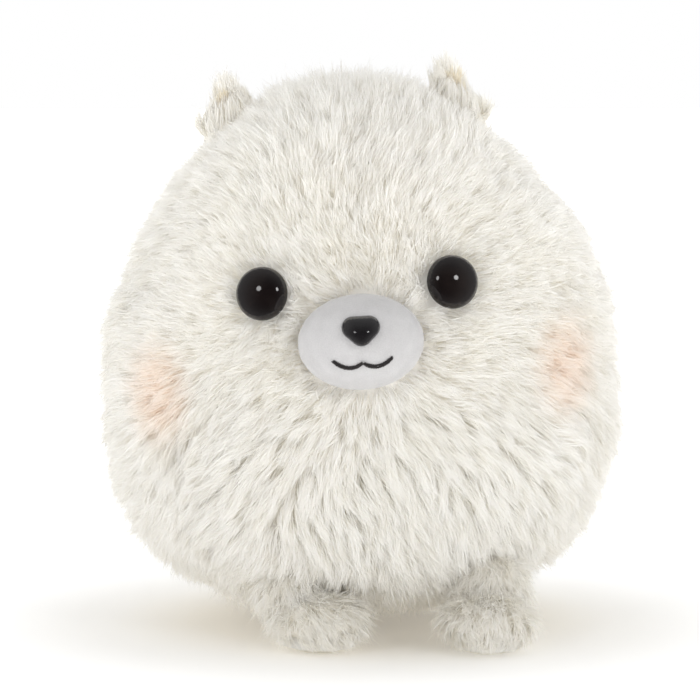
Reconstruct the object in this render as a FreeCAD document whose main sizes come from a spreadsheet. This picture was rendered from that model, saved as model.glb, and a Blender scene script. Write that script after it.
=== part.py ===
"""Round plush dog: a stuffed ball body on four short feet, with two ears, a muzzle and a tail.

Millimetres, +Z up. The dog faces -Y and its own left side is +X. The floor is z = 0, and the
origin is on the floor under the middle of the dog. The ball body and all that is sewn to it are
modelled upright and then leaned sideways together; the four feet stand level on the floor.
"""
import FreeCAD, Part
import math
import os
import Sketcher

DIMENSIONS = {
    # ball body: a flat base, a round lower corner, a tall side arc and a round crown
    "body_radius": 162.0,
    "corner_radius": 120.0,
    "belly_height": 130.0,
    "shoulder_height": 145.0,
    "crown_height": 350.0,
    "crown_radius": 150.0,
    "lean_deg": 3.5,
    "lean_height": 137.0,
    # plush cover: backing and standing pile together
    "pile": 16.0,
    "gore_count": 6.0,
    "seam_gap_deg": 0.1,
    "belly_split_deg": 25.0,
    "knot_radius": 1.5,
    "clearance": 0.3,
    # muzzle, nose and mouth
    "muzzle_height": 191.0,
    "muzzle_y": -155.0,
    "muzzle_half_width": 38.0,
    "muzzle_half_depth": 32.0,
    "muzzle_half_height": 29.0,
    "muzzle_skin": 3.0,
    "nose_height": 200.0,
    "nose_back_y": -176.0,
    "nose_depth": 15.0,
    "nose_half_width": 7.0,
    "nose_half_height": 4.5,
    "nose_corner": 3.6,
    "nose_round": 3.2,
    "nose_post_radius": 2.5,
    "nose_post_front": -188.0,
    "nose_post_length": 22.0,
    "nose_washer_y": -173.0,
    "mouth_low": 178.5,
    "mouth_arc_radius": 11.4,
    "mouth_arc_deg": 98.0,
    "mouth_turn_deg": 14.0,
    "mouth_tilt_deg": 28.0,
    "thread_radius": 0.9,
    # safety eyes
    "eye_x": 57.3,
    "eye_height": 222.0,
    "eye_radius": 16.0,
    "eye_dome": 10.7,
    "eye_sunk": 3.0,
    "eye_turn_deg": 20.0,
    "eye_tilt_deg": 8.0,
    "eye_post_radius": 3.0,
    "eye_post_length": 20.0,
    "washer_radius": 9.0,
    "washer_thickness": 2.0,
    "washer_inset": 2.5,
    # ears
    "ear_x": 72.0,
    "ear_y": -15.0,
    "ear_depth": 10.0,
    "ear_tilt_deg": 28.0,
    "ear_half_base": 21.0,
    "ear_tip_side": 15.0,
    "ear_tip_height": 29.0,
    "ear_outer_thickness": 4.0,
    "ear_inner_thickness": 2.4,
    "ear_root_radius": 13.4,
    "ear_pocket_radius": 14.0,
    "ear_end_gap": 1.0,
    # feet
    "hip_height": 36.0,
    "hip_radius": 26.0,
    "socket_gap": 0.6,
    "foot_half_width": 29.0,
    "foot_half_length": 33.0,
    "foot_half_height": 19.0,
    "foot_ahead": 21.0,
    "foot_centre_height": 17.0,
    "foot_pile": 7.0,
    "neck_radius": 11.0,
    "neck_low": 6.0,
    "stuffing_half_height": 9.0,
    "stuffing_height": 6.0,
    "sole_thickness": 3.0,
    "leg_swing_deg": 10.0,
    # tail
    "tail_height": 100.0,
    "tail_y": 150.0,
    "tail_root_radius": 15.0,
    "tail_half_width": 17.0,
    "tail_half_length": 23.0,
    "tail_behind": 18.0,
    "tail_pile": 6.0,
    "tail_swing_deg": 20.0,
    "body_clearance": 1.0,
    "swing_room": 3.0,
    # trim
    "closing_stitch_width": 2.4,
    "closing_stitch_depth": 1.5,
    "closing_stitch_low": 120.0,
    "closing_stitch_high": 200.0,
    "label_width": 20.0,
    "label_length": 30.0,
    "label_thickness": 0.8,
    "label_height": 62.0,
    "label_sewn": 6.0,
}

# Hip places on the floor plan (x, y) and the turn of each foot about the vertical.
LEGS = {
    "front_right": (-42.0, -92.0, 40.0),
    "front_left": (76.0, -92.0, -4.0),
    "rear_right": (-36.0, 90.0, 168.0),
    "rear_left": (78.0, 90.0, 190.0),
}
FRONT = -90.0
GORES = {
    "front_left": FRONT,
    "side_left": FRONT + 60.0,
    "back_left": FRONT + 120.0,
    "back_right": FRONT + 180.0,
    "side_right": FRONT + 240.0,
    "front_right": FRONT + 300.0,
}
SIDES = {"left": 1, "right": -1}
X_AXIS = FreeCAD.Vector(1, 0, 0)
Y_AXIS = FreeCAD.Vector(0, 1, 0)
Z_AXIS = FreeCAD.Vector(0, 0, 1)

doc = FreeCAD.newDocument("plush_dog")
sheet = doc.addObject("Spreadsheet::Sheet", "dims")


def fill_sheet():
    """Write every driving dimension to its own row, with its name as the alias."""
    for row, (name, value) in enumerate(DIMENSIONS.items(), start=1):
        sheet.set(f"A{row}", name)
        sheet.set(f"B{row}", str(value))
        sheet.setAlias(f"B{row}", name)
    doc.recompute()


def dim(name):
    return float(sheet.get(name))


def cell(expression):
    """Turn plain names in an expression into references to the sheet."""
    words = sorted(DIMENSIONS, key=len, reverse=True)
    for number, word in enumerate(words):
        expression = expression.replace(word, f"@{number}@")
    for number, word in enumerate(words):
        expression = expression.replace(f"@{number}@", f"dims.{word}")
    return expression


def bind(thing, **expressions):
    for name, expression in expressions.items():
        thing.setExpression(name, cell(expression))
    return thing


def turn(axis, degrees, about=FreeCAD.Vector()):
    return FreeCAD.Placement(FreeCAD.Vector(), FreeCAD.Rotation(axis, degrees), about)


def at(x, y, z, rotation=FreeCAD.Rotation()):
    return FreeCAD.Placement(FreeCAD.Vector(x, y, z), rotation)


# ---- primitives bound to the sheet ---------------------------------------------------------

def sphere(name, radius, placement):
    ball = doc.addObject("Part::Sphere", name)
    bind(ball, Radius=radius)
    ball.Placement = placement
    return ball


def cylinder(name, radius, height, placement):
    rod = doc.addObject("Part::Cylinder", name)
    bind(rod, Radius=radius, Height=height)
    rod.Placement = placement
    return rod


def ellipsoid(name, half_x, half_y, half_z, placement):
    """An ellipsoid with half axes along X, Y and Z; Radius1 is its Z half axis."""
    egg = doc.addObject("Part::Ellipsoid", name)
    bind(egg, Radius2=half_x, Radius3=half_y, Radius1=half_z)
    egg.Placement = placement
    return egg


def box(name, length, width, height, placement):
    block = doc.addObject("Part::Box", name)
    bind(block, Length=length, Width=width, Height=height)
    block.Placement = placement
    return block


def fuse(name, shapes):
    joined = doc.addObject("Part::MultiFuse", name)
    joined.Shapes = shapes
    return joined


def cut(name, base, tools):
    """Cut every tool that reaches the base's box out of the base."""
    doc.recompute()
    near = [tool for tool in tools if base.Shape.BoundBox.intersect(tool.Shape.BoundBox)]
    if not near:
        return base
    result = doc.addObject("Part::Cut", name)
    result.Base = base
    result.Tool = near[0] if len(near) == 1 else fuse(name + "_tools", near)
    return result


def common(name, base, tool):
    result = doc.addObject("Part::Common", name)
    result.Base = base
    result.Tool = tool
    return result


# ---- sketches ------------------------------------------------------------------------------

def new_sketch(body, plane, name):
    sketch = body.newObject("Sketcher::SketchObject", name)
    roles = {feature.Role: feature for feature in body.Origin.OriginFeatures}
    sketch.AttachmentSupport = [(roles[plane], "")]
    sketch.MapMode = "FlatFace"
    return sketch


def rule(sketch, name, expression, *constraint):
    """Add one named dimension to a sketch and bind it to the sheet."""
    index = sketch.addConstraint(Sketcher.Constraint(*constraint))
    sketch.renameConstraint(index, name)
    sketch.setExpression(f"Constraints.{name}", cell(expression))


def arc(centre, radius, start_deg, end_deg):
    circle = Part.Circle(FreeCAD.Vector(centre[0], centre[1], 0), Z_AXIS, radius)
    return Part.ArcOfCircle(circle, math.radians(start_deg), math.radians(end_deg))


def line(start, end):
    return Part.LineSegment(FreeCAD.Vector(*start, 0), FreeCAD.Vector(*end, 0))


START, END, CENTRE = 1, 2, 3


def contour(sketch, tag, insets, top_x, low_deg):
    """Add the ball's half outline: corner arc, side, shoulder arc and crown arc.

    insets names the dimensions that move it inward, a minus sign moving it outward instead.
    The corner arc starts low_deg from straight down and the crown ends top_x from the axis.
    Returns the corner arc and the crown arc.
    """
    shift = sum(-dim(name[1:]) if name[0] == "-" else dim(name) for name in insets)
    moved = "".join(f" + {name[1:]}" if name[0] == "-" else f" - {name}" for name in insets)
    radius, corner, crown = dim("body_radius"), dim("corner_radius"), dim("crown_radius")
    low_z, high_z = dim("belly_height"), dim("shoulder_height")
    crown_z = dim("crown_height") - crown
    side = (radius ** 2 + (crown_z - high_z) ** 2 - crown ** 2) / (2 * (radius - crown))
    meet_deg = math.degrees(math.atan2(crown_z - high_z, side - radius))
    top_deg = math.degrees(math.acos(top_x / (crown - shift)))
    edge = radius - shift
    lower = sketch.addGeometry(arc((radius - corner, low_z), corner - shift, low_deg - 90, 0))
    wall = sketch.addGeometry(line((edge, low_z), (edge, high_z)))
    upper = sketch.addGeometry(arc((radius - side, high_z), side - shift, 0, meet_deg))
    top = sketch.addGeometry(arc((0, crown_z), crown - shift, meet_deg, top_deg))
    for first, second in ((lower, wall), (wall, upper), (upper, top)):
        sketch.addConstraint(Sketcher.Constraint("Tangent", first, END, second, START))
    sketch.addConstraint(Sketcher.Constraint("Vertical", wall))
    sketch.addConstraint(Sketcher.Constraint("PointOnObject", top, CENTRE, -2))
    rule(sketch, tag + "_edge", "body_radius" + moved, "DistanceX", -1, 1, wall, START, edge)
    rule(sketch, tag + "_low", "belly_height", "DistanceY", -1, 1, wall, START, low_z)
    rule(sketch, tag + "_high", "shoulder_height", "DistanceY", -1, 1, wall, END, high_z)
    rule(sketch, tag + "_corner", "corner_radius" + moved, "Radius", lower, corner - shift)
    rule(sketch, tag + "_crown", "crown_radius" + moved, "Radius", top, crown - shift)
    rule(sketch, tag + "_rise", "crown_height - crown_radius", "DistanceY", -1, 1, top, CENTRE,
         crown_z)
    return lower, top


def point_of(sketch, geometry, which):
    point = sketch.getPoint(geometry, which)
    return point.x, point.y


def link(sketch, first, first_end, second, second_end):
    """Join two ends with a straight line."""
    start, end = point_of(sketch, first, first_end), point_of(sketch, second, second_end)
    joint = sketch.addGeometry(line(start, end))
    sketch.addConstraint(Sketcher.Constraint("Coincident", first, first_end, joint, START))
    sketch.addConstraint(Sketcher.Constraint("Coincident", joint, END, second, second_end))
    return joint


def revolve(body, sketch, angle):
    feature = body.newObject("PartDesign::Revolution", sketch.Name + "_turned")
    feature.Profile = sketch
    feature.ReferenceAxis = (sketch, ["V_Axis"])
    bind(feature, Angle=angle)
    return feature


def solid_of_outline(name, insets):
    """The whole ball, its outline moved inward by insets."""
    body = doc.addObject("PartDesign::Body", name)
    sketch = new_sketch(body, "XZ_Plane", name + "_outline")
    lower, top = contour(sketch, "skin", insets, 0.0, 0.0)
    base_z = point_of(sketch, lower, START)[1]
    floor = sketch.addGeometry(line((0, base_z), point_of(sketch, lower, START)))
    sketch.addConstraint(Sketcher.Constraint("Tangent", floor, END, lower, START))
    sketch.addConstraint(Sketcher.Constraint("Horizontal", floor))
    sketch.addConstraint(Sketcher.Constraint("PointOnObject", floor, START, -2))
    sketch.addConstraint(Sketcher.Constraint("PointOnObject", top, END, -2))
    link(sketch, top, END, floor, START)
    revolve(body, sketch, "360")
    return body


def gore(name, start_deg):
    """One upright slice of the plush cover, from the belly seam to the knot on the crown."""
    body = doc.addObject("PartDesign::Body", name)
    sketch = new_sketch(body, "XZ_Plane", name + "_slice")
    split = dim("belly_split_deg")
    knot = dim("knot_radius")
    ends = []
    for tag, insets in (("skin", ()), ("lining", ("pile",))):
        lower, top = contour(sketch, tag, insets, knot, split)
        radius = "corner_radius" + "".join(f" - {inset}" for inset in insets)
        rule(sketch, tag + "_split", f"belly_height - ({radius}) * cos(belly_split_deg * 1 deg)",
             "DistanceY", -1, 1, lower, START, point_of(sketch, lower, START)[1])
        rule(sketch, tag + "_knot", "knot_radius", "DistanceX", -1, 1, top, END, knot)
        ends.append((lower, top))
    link(sketch, ends[0][0], START, ends[1][0], START)
    link(sketch, ends[0][1], END, ends[1][1], END)
    revolve(body, sketch, "360 / gore_count - 2 * seam_gap_deg")
    body.Placement = turn(Z_AXIS, start_deg + dim("seam_gap_deg"))
    return body


def belly(name):
    """The round panel under the ball, inside the belly seam."""
    body = doc.addObject("PartDesign::Body", name)
    sketch = new_sketch(body, "XZ_Plane", name + "_slice")
    flat = dim("body_radius") - dim("corner_radius")
    centre = (flat, dim("belly_height"))
    split = dim("belly_split_deg") - dim("seam_gap_deg")
    arcs = []
    floors = []
    for tag, insets in (("skin", ()), ("lining", ("pile",))):
        radius = dim("corner_radius") - sum(dim(inset) for inset in insets)
        text = "corner_radius" + "".join(f" - {inset}" for inset in insets)
        lower = sketch.addGeometry(arc(centre, radius, -90, split - 90))
        floor = sketch.addGeometry(line((0, centre[1] - radius), (flat, centre[1] - radius)))
        sketch.addConstraint(Sketcher.Constraint("Tangent", floor, END, lower, START))
        sketch.addConstraint(Sketcher.Constraint("Horizontal", floor))
        sketch.addConstraint(Sketcher.Constraint("PointOnObject", floor, START, -2))
        rule(sketch, tag + "_flat", "body_radius - corner_radius", "DistanceX", -1, 1, lower,
             CENTRE, flat)
        rule(sketch, tag + "_low", "belly_height", "DistanceY", -1, 1, lower, CENTRE, centre[1])
        rule(sketch, tag + "_corner", text, "Radius", lower, radius)
        rule(sketch, tag + "_split",
             f"belly_height - ({text}) * cos((belly_split_deg - seam_gap_deg) * 1 deg)",
             "DistanceY", -1, 1, lower, END, point_of(sketch, lower, END)[1])
        arcs.append(lower)
        floors.append(floor)
    link(sketch, arcs[0], END, arcs[1], END)
    link(sketch, floors[0], START, floors[1], START)
    revolve(body, sketch, "360")
    return body


# ---- places on the ball, before it leans ---------------------------------------------------

def skin_radius(height):
    """Outer radius of the ball at a height."""
    if height < dim("belly_height"):
        drop = dim("belly_height") - height
        return dim("body_radius") - dim("corner_radius") + math.sqrt(dim("corner_radius") ** 2 - drop ** 2)
    crown_z = dim("crown_height") - dim("crown_radius")
    rise = crown_z - dim("shoulder_height")
    radius, crown = dim("body_radius"), dim("crown_radius")
    side = (radius ** 2 + rise ** 2 - crown ** 2) / (2 * (radius - crown))
    return radius - side + math.sqrt(side ** 2 - (height - dim("shoulder_height")) ** 2)


def lean():
    """The sideways lean shared by the ball and everything sewn to it."""
    return turn(Y_AXIS, -dim("lean_deg"), FreeCAD.Vector(0, 0, dim("lean_height")))


def eye_place(side):
    """Eye centre on the backing side of the eye, its Z along the eye's outward axis."""
    x, z = dim("eye_x"), dim("eye_height")
    y = -math.sqrt(skin_radius(z) ** 2 - x ** 2)
    facing = FreeCAD.Rotation(Z_AXIS, side * dim("eye_turn_deg"))
    facing = facing.multiply(FreeCAD.Rotation(X_AXIS, 90 - dim("eye_tilt_deg")))
    outward = facing.multVec(Z_AXIS)
    centre = FreeCAD.Vector(side * x, y, z) - outward * dim("eye_sunk")
    return FreeCAD.Placement(centre, facing)


def ear_place(side):
    """Middle of the ear's sewn edge: X along the edge, outward and down, Z out of the ball."""
    x, y = dim("ear_x"), dim("ear_y")
    reach = dim("crown_radius") - dim("ear_depth")
    z = dim("crown_height") - dim("crown_radius") + math.sqrt(reach ** 2 - x ** 2 - y ** 2)
    return at(side * x, y, z, FreeCAD.Rotation(Y_AXIS, side * dim("ear_tilt_deg")))


def tail_place():
    return at(0, dim("tail_y"), dim("tail_height"))


def hip_place(leg):
    x, y, foot_turn = LEGS[leg]
    return at(x, y, dim("hip_height"), FreeCAD.Rotation(Z_AXIS, foot_turn))


def in_ball(place):
    """A place on the floor plan as the unleaned ball sees it."""
    return lean().inverse().multiply(place)


def muzzle_place():
    return at(0, dim("muzzle_y"), dim("muzzle_height"))


# ---- sub-parts -----------------------------------------------------------------------------

finished = {}


def finish(node, shape, placement=FreeCAD.Placement()):
    """Give a sub-part its label and its place; its shape is written to a file of that name."""
    shape.Label = node
    shape.Placement = placement.multiply(shape.Placement)
    finished[node] = shape


def muzzle_egg(name, inset):
    return ellipsoid(name, f"muzzle_half_width{inset}", f"muzzle_half_depth{inset}",
                     f"muzzle_half_height{inset}", muzzle_place())


def rounded_triangle_pad(name):
    """The nose head: a wide triangle with round corners, point down, its front edge rounded."""
    body = doc.addObject("PartDesign::Body", name)
    sketch = new_sketch(body, "XZ_Plane", name + "_outline")
    wide, high, round_radius = dim("nose_half_width"), dim("nose_half_height"), dim("nose_corner")
    corners = [(wide, high), (-wide, high), (0, -high)]
    span = [(-36.0, 90.0), (90.0, 216.0), (216.0, 324.0)]
    arcs = [sketch.addGeometry(arc(c, round_radius, *turned)) for c, turned in zip(corners, span)]
    for number, corner in enumerate(arcs):
        following = arcs[(number + 1) % len(arcs)]
        side = sketch.addGeometry(line(point_of(sketch, corner, END),
                                       point_of(sketch, following, START)))
        sketch.addConstraint(Sketcher.Constraint("Tangent", corner, END, side, START))
        sketch.addConstraint(Sketcher.Constraint("Tangent", side, END, following, START))
    words = [("nose_half_width", "nose_half_height"), ("-nose_half_width", "nose_half_height"),
             (None, "-nose_half_height")]
    for number, (corner, (across, up)) in enumerate(zip(arcs, words)):
        if across:
            rule(sketch, f"across_{number}", across, "DistanceX", -1, 1, corner, CENTRE,
                 corners[number][0])
        else:
            sketch.addConstraint(Sketcher.Constraint("PointOnObject", corner, CENTRE, -2))
        rule(sketch, f"up_{number}", up, "DistanceY", -1, 1, corner, CENTRE, corners[number][1])
        rule(sketch, f"round_{number}", "nose_corner", "Radius", corner, round_radius)
    pad = body.newObject("PartDesign::Pad", name + "_pad")
    pad.Profile = sketch
    bind(pad, Length="nose_depth")
    doc.recompute()
    front = min(pad.Shape.Faces, key=lambda face: face.CenterOfMass.y)
    face_name = f"Face{1 + [f.isSame(front) for f in pad.Shape.Faces].index(True)}"
    fillet = body.newObject("PartDesign::Fillet", name + "_round")
    fillet.Base = (pad, [face_name])
    bind(fillet, Radius="nose_round")
    body.Placement = at(0, dim("nose_back_y"), dim("nose_height"))
    return body


def eye_body(name):
    """A domed safety eye on its post: one turned profile, the dome along +Z."""
    body = doc.addObject("PartDesign::Body", name)
    sketch = new_sketch(body, "XZ_Plane", name + "_profile")
    wide, high = dim("eye_radius"), dim("eye_dome")
    post, length = dim("eye_post_radius"), dim("eye_post_length")
    ball = (wide ** 2 + high ** 2) / (2 * high)
    start = math.degrees(math.atan2(ball - high, wide))
    dome = sketch.addGeometry(arc((0, high - ball), ball, start, 90))
    points = [(0, high), (0, -length), (post, -length), (post, 0), (wide, 0)]
    sides = [sketch.addGeometry(line(a, b)) for a, b in zip(points, points[1:])]
    for first, second in zip([dome] + sides, sides + [dome]):
        sketch.addConstraint(Sketcher.Constraint("Coincident", first, END, second, START))
    for side, kind in zip(sides, ("Vertical", "Horizontal", "Vertical", "Horizontal")):
        sketch.addConstraint(Sketcher.Constraint(kind, side))
    sketch.addConstraint(Sketcher.Constraint("PointOnObject", dome, CENTRE, -2))
    sketch.addConstraint(Sketcher.Constraint("PointOnObject", sides[0], END, -2))
    sketch.addConstraint(Sketcher.Constraint("PointOnObject", sides[3], END, -1))
    rule(sketch, "rim", "eye_radius", "DistanceX", -1, 1, sides[3], END, wide)
    rule(sketch, "dome", "eye_dome", "DistanceY", -1, 1, dome, END, high)
    rule(sketch, "post_edge", "eye_post_radius", "DistanceX", -1, 1, sides[2], END, post)
    rule(sketch, "post_end", "-eye_post_length", "DistanceY", -1, 1, sides[1], START, -length)
    revolve(body, sketch, "360")
    return body


def washer(name, post_radius, placement):
    """A push-on washer: one face at the place, its thickness along Z, which is the post's axis."""
    disc = cylinder(name + "_disc", "washer_radius", "washer_thickness", placement)
    bore = cylinder(name + "_bore", post_radius, "washer_thickness", placement)
    return cut(name, disc, [bore])


def ear_flap(name, side, layer):
    """A pointed flap, padded along Y from the middle of the ear to one face."""
    body = doc.addObject("PartDesign::Body", name)
    sketch = new_sketch(body, "XZ_Plane", name + "_outline")
    half, tip_x, tip_z = dim("ear_half_base"), -side * dim("ear_tip_side"), dim("ear_tip_height")
    points = [(-half, 0), (half, 0), (tip_x, tip_z)]
    ring = points + points[:1]
    sides = [sketch.addGeometry(line(a, b)) for a, b in zip(ring, ring[1:])]
    for first, second in zip(sides, sides[1:] + sides[:1]):
        sketch.addConstraint(Sketcher.Constraint("Coincident", first, END, second, START))
    sketch.addConstraint(Sketcher.Constraint("PointOnObject", sides[0], START, -1))
    sketch.addConstraint(Sketcher.Constraint("Symmetric", sides[0], START, sides[0], END, -1, 1))
    rule(sketch, "base", "2 * ear_half_base", "DistanceX", sides[0], START, sides[0], END, 2 * half)
    rule(sketch, "tip_side", f"{-side} * ear_tip_side", "DistanceX", -1, 1, sides[1], END, tip_x)
    rule(sketch, "tip_height", "ear_tip_height", "DistanceY", -1, 1, sides[1], END, tip_z)
    pad = body.newObject("PartDesign::Pad", name + "_pad")
    pad.Profile = sketch
    pad.Reversed = layer == "ear_outer_thickness"
    bind(pad, Length=layer)
    return body


# ---- shapes that other pieces are cut with -------------------------------------------------

def moved(name, solid, placement):
    """The same solid again, in another place."""
    again = doc.addObject("Part::Compound", name)
    again.Links = [solid]
    again.Placement = placement
    return again


def swung(name, ball, hinge, swing, placement):
    """The ball as a hinged piece meets it: at rest and at both ends of the swing about X."""
    return [moved(f"{name}_{index}", ball, turn(X_AXIS, angle, hinge).multiply(placement))
            for index, angle in enumerate((-swing, 0.0, swing))]


def ball_sockets():
    """Everything that is let into the ball, in the ball's own upright frame."""
    tools = [ellipsoid("muzzle_pocket", "muzzle_half_width + clearance",
                       "muzzle_half_depth + clearance", "muzzle_half_height + clearance",
                       muzzle_place())]
    for leg in LEGS:
        tools.append(sphere(leg + "_socket", "hip_radius + socket_gap", in_ball(hip_place(leg))))
    tools.append(sphere("tail_socket", "tail_root_radius + socket_gap", tail_place()))
    for word, side in SIDES.items():
        length = "2 * ear_half_base + 2 * ear_end_gap"
        tools.append(ear_rod(word + "_ear_pocket", side, "ear_pocket_radius", length,
                             dim("ear_half_base") + dim("ear_end_gap")))
        tools.append(cylinder(word + "_eye_pocket", "eye_radius + clearance", "eye_radius",
                              eye_place(side)))
        post = eye_place(side).multiply(at(0, 0, -dim("eye_post_length")))
        tools.append(cylinder(word + "_eye_post", "eye_post_radius", "eye_post_length", post))
    return tools


def ear_rod(name, side, radius, length, half_length):
    along = ear_place(side).multiply(at(-half_length, 0, 0, FreeCAD.Rotation(Y_AXIS, 90)))
    return cylinder(name, radius, length, along)


# ---- the pieces of the dog -----------------------------------------------------------------

def make_trim(skin, under_skin):
    """The hand-sewn closing seam down the back and the blank care label in a side seam."""
    width, low = dim("closing_stitch_width"), dim("closing_stitch_low")
    strip = box("closing_strip", "closing_stitch_width", "body_radius + pile",
                "closing_stitch_high - closing_stitch_low", at(-width / 2, 0, low))
    thread = cut("closing_thread", common("closing_band", strip, skin), [under_skin])
    inner = skin_radius(dim("label_height")) - dim("label_sewn")
    beside = at(inner, -dim("label_thickness") / 2, dim("label_height") - dim("label_width") / 2)
    ribbon = box("label_ribbon", "label_length", "label_thickness", "label_width",
                 turn(Z_AXIS, GORES["back_left"]).multiply(beside))
    finish("closing_stitches", moved("closing_stitches_placed", thread, lean()))
    finish("care_label", moved("care_label_placed", ribbon, lean()))
    return [thread, ribbon]


def make_ball(skin):
    """Stuffing, six gores and the belly panel, with every socket cut into them."""
    under_skin = solid_of_outline("under_skin", ("closing_stitch_depth",))
    stuffing = solid_of_outline("stuffing", ("pile", "clearance"))
    sockets = ball_sockets()
    trim = make_trim(skin, under_skin)
    pockets = [cylinder(word + "_washer_pocket", "washer_radius", "washer_thickness",
                        washer_place(side)) for word, side in SIDES.items()]
    pieces = [("fibre_fill", stuffing, sockets + pockets),
              ("belly_panel", belly("belly"), sockets)]
    for word, start in GORES.items():
        pieces.append((word + "_panel", gore(word + "_gore", start), sockets + trim))
    for node, base, tools in pieces:
        finish(node, cut(node + "_shape", base, tools), lean())


def washer_place(side):
    """Back face of an eye's washer, Z along the eye's post."""
    depth = dim("pile") - dim("eye_sunk") + dim("washer_inset") + dim("washer_thickness")
    return eye_place(side).multiply(at(0, 0, -depth))


def make_eyes():
    for word, side in SIDES.items():
        eye = eye_body(word + "_eye_form")
        eye.Placement = eye_place(side)
        finish(word + "_eye", eye, lean())
        finish(word + "_eye_washer", washer(word + "_ring", "eye_post_radius",
                                            washer_place(side)), lean())


def muzzle_surface_y(x, height):
    across = (x / dim("muzzle_half_width")) ** 2
    up = ((height - dim("muzzle_height")) / dim("muzzle_half_height")) ** 2
    return dim("muzzle_y") - dim("muzzle_half_depth") * math.sqrt(1 - across - up)


def smile_arc(name, side):
    """Half of the smile: part of a ring lying on the muzzle, its lowest point at mouth_low."""
    sweep, radius = dim("mouth_arc_deg"), dim("mouth_arc_radius")
    facing = FreeCAD.Rotation(Z_AXIS, side * dim("mouth_turn_deg"))
    facing = facing.multiply(FreeCAD.Rotation(X_AXIS, 90 + dim("mouth_tilt_deg")))
    turned = math.cos(math.radians(dim("mouth_turn_deg")))
    x = side * (radius * math.sin(math.radians(sweep / 2)) * turned - dim("thread_radius") / 2)
    low = FreeCAD.Vector(x, muzzle_surface_y(x, dim("mouth_low")), dim("mouth_low"))
    centre = low - facing.multVec(FreeCAD.Vector(0, -radius, 0))
    ring = doc.addObject("Part::Torus", name)
    bind(ring, Radius1="mouth_arc_radius", Radius2="thread_radius", Angle3="mouth_arc_deg")
    start = FreeCAD.Rotation(Z_AXIS, 270 - sweep / 2)
    ring.Placement = FreeCAD.Placement(centre, facing.multiply(start))
    return ring


def make_muzzle():
    """Short-pile muzzle with its stuffing, the nose on its post and washer, and the smile."""
    outer = muzzle_egg("muzzle_outer", "")
    lining = muzzle_egg("muzzle_lining", " - muzzle_skin")
    filling = muzzle_egg("muzzle_filling", " - muzzle_skin")
    backwards = FreeCAD.Rotation(X_AXIS, -90)
    post_place = at(0, dim("nose_post_front"), dim("nose_height"), backwards)
    post = cylinder("nose_post", "nose_post_radius", "nose_post_length", post_place)
    head = cut("nose_head", rounded_triangle_pad("nose_form"), [outer])
    disc_place = at(0, dim("nose_washer_y"), dim("nose_height"), backwards)
    smile = fuse("smile", [smile_arc(word + "_smile", side) for word, side in SIDES.items()])
    pocket = cylinder("nose_washer_pocket", "washer_radius", "washer_thickness", disc_place)
    stitches = moved("mouth_stitches_placed", smile, lean())
    finish("muzzle_cover", cut("muzzle_cover_shape", outer, [lining, post, smile]), lean())
    finish("muzzle_fill", cut("muzzle_fill_shape", filling, [post, pocket, smile]), lean())
    finish("nose", fuse("nose_shape", [head, post]), lean())
    finish("nose_washer", washer("nose_ring", "nose_post_radius", disc_place), lean())
    finish("mouth_stitches", stitches)


def make_ears():
    """Each ear: a pointed outer flap on a round root, lined in front by a thinner flap."""
    for word, side in SIDES.items():
        root = ear_rod(word + "_ear_root", side, "ear_root_radius", "2 * ear_half_base",
                       dim("ear_half_base"))
        outer = ear_flap(word + "_ear_back", side, "ear_outer_thickness")
        lining = ear_flap(word + "_ear_front", side, "ear_inner_thickness")
        outer.Placement = ear_place(side)
        lining.Placement = ear_place(side)
        finish(word + "_ear_inner", cut(word + "_ear_lining", lining, [root]), lean())
        finish(word + "_ear_outer", fuse(word + "_ear_shell", [root, outer]), lean())


def foot_form(name, leg, inset, half_height, height):
    """The foot's egg, longer than wide, its centre ahead of the hip at a height."""
    ahead = hip_place(leg).multiply(at(0, -dim("foot_ahead"), dim(height) - dim("hip_height")))
    return ellipsoid(name, "foot_half_width" + inset, "foot_half_length" + inset, half_height,
                     ahead)


def leg_stuffing(name, leg):
    """The filled space of a leg: a ball at the hip, a neck and a low pad along the foot."""
    hip = hip_place(leg)
    down = hip.multiply(at(0, 0, dim("neck_low") - dim("hip_height")))
    ball = sphere(name + "_hip", "hip_radius - foot_pile", hip)
    neck = cylinder(name + "_neck", "neck_radius", "hip_height - neck_low", down)
    pad = foot_form(name + "_pad", leg, " - foot_pile", "stuffing_half_height",
                    "stuffing_height")
    return fuse(name, [ball, neck, pad])


def make_legs(skin):
    """Four short legs: plush cover, stuffing and a flat sole on the floor."""
    reach = dim("body_radius")
    thick = dim("sole_thickness")
    for leg in LEGS:
        hip = hip_place(leg)
        corner = hip.Base - FreeCAD.Vector(reach, reach, dim("hip_height"))
        below = box(leg + "_below", "2 * body_radius", "2 * body_radius", "body_radius",
                    at(corner.x, corner.y, thick - reach))
        slab = box(leg + "_slab", "2 * body_radius", "2 * body_radius", "sole_thickness",
                   at(corner.x, corner.y, 0))
        around = swung(leg + "_around", skin, hip.Base, dim("leg_swing_deg"), lean())
        foot = foot_form(leg + "_foot", leg, "", "foot_half_height", "foot_centre_height")
        ball = sphere(leg + "_hip", "hip_radius", hip)
        whole = fuse(leg + "_whole", [ball, cut(leg + "_foot_clear", foot, around)])
        stuffing = leg_stuffing(leg + "_stuffing", leg)
        level = cut(leg + "_level", whole, [below])
        finish(leg + "_leg_cover", cut(leg + "_shell", level, [stuffing]))
        finish(leg + "_leg_fill", cut(leg + "_filling", stuffing, [below]))
        last = foot_form(leg + "_last", leg, "", "foot_half_height", "foot_centre_height")
        finish(leg + "_sole", common(leg + "_sole_disc", last, slab))


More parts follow.
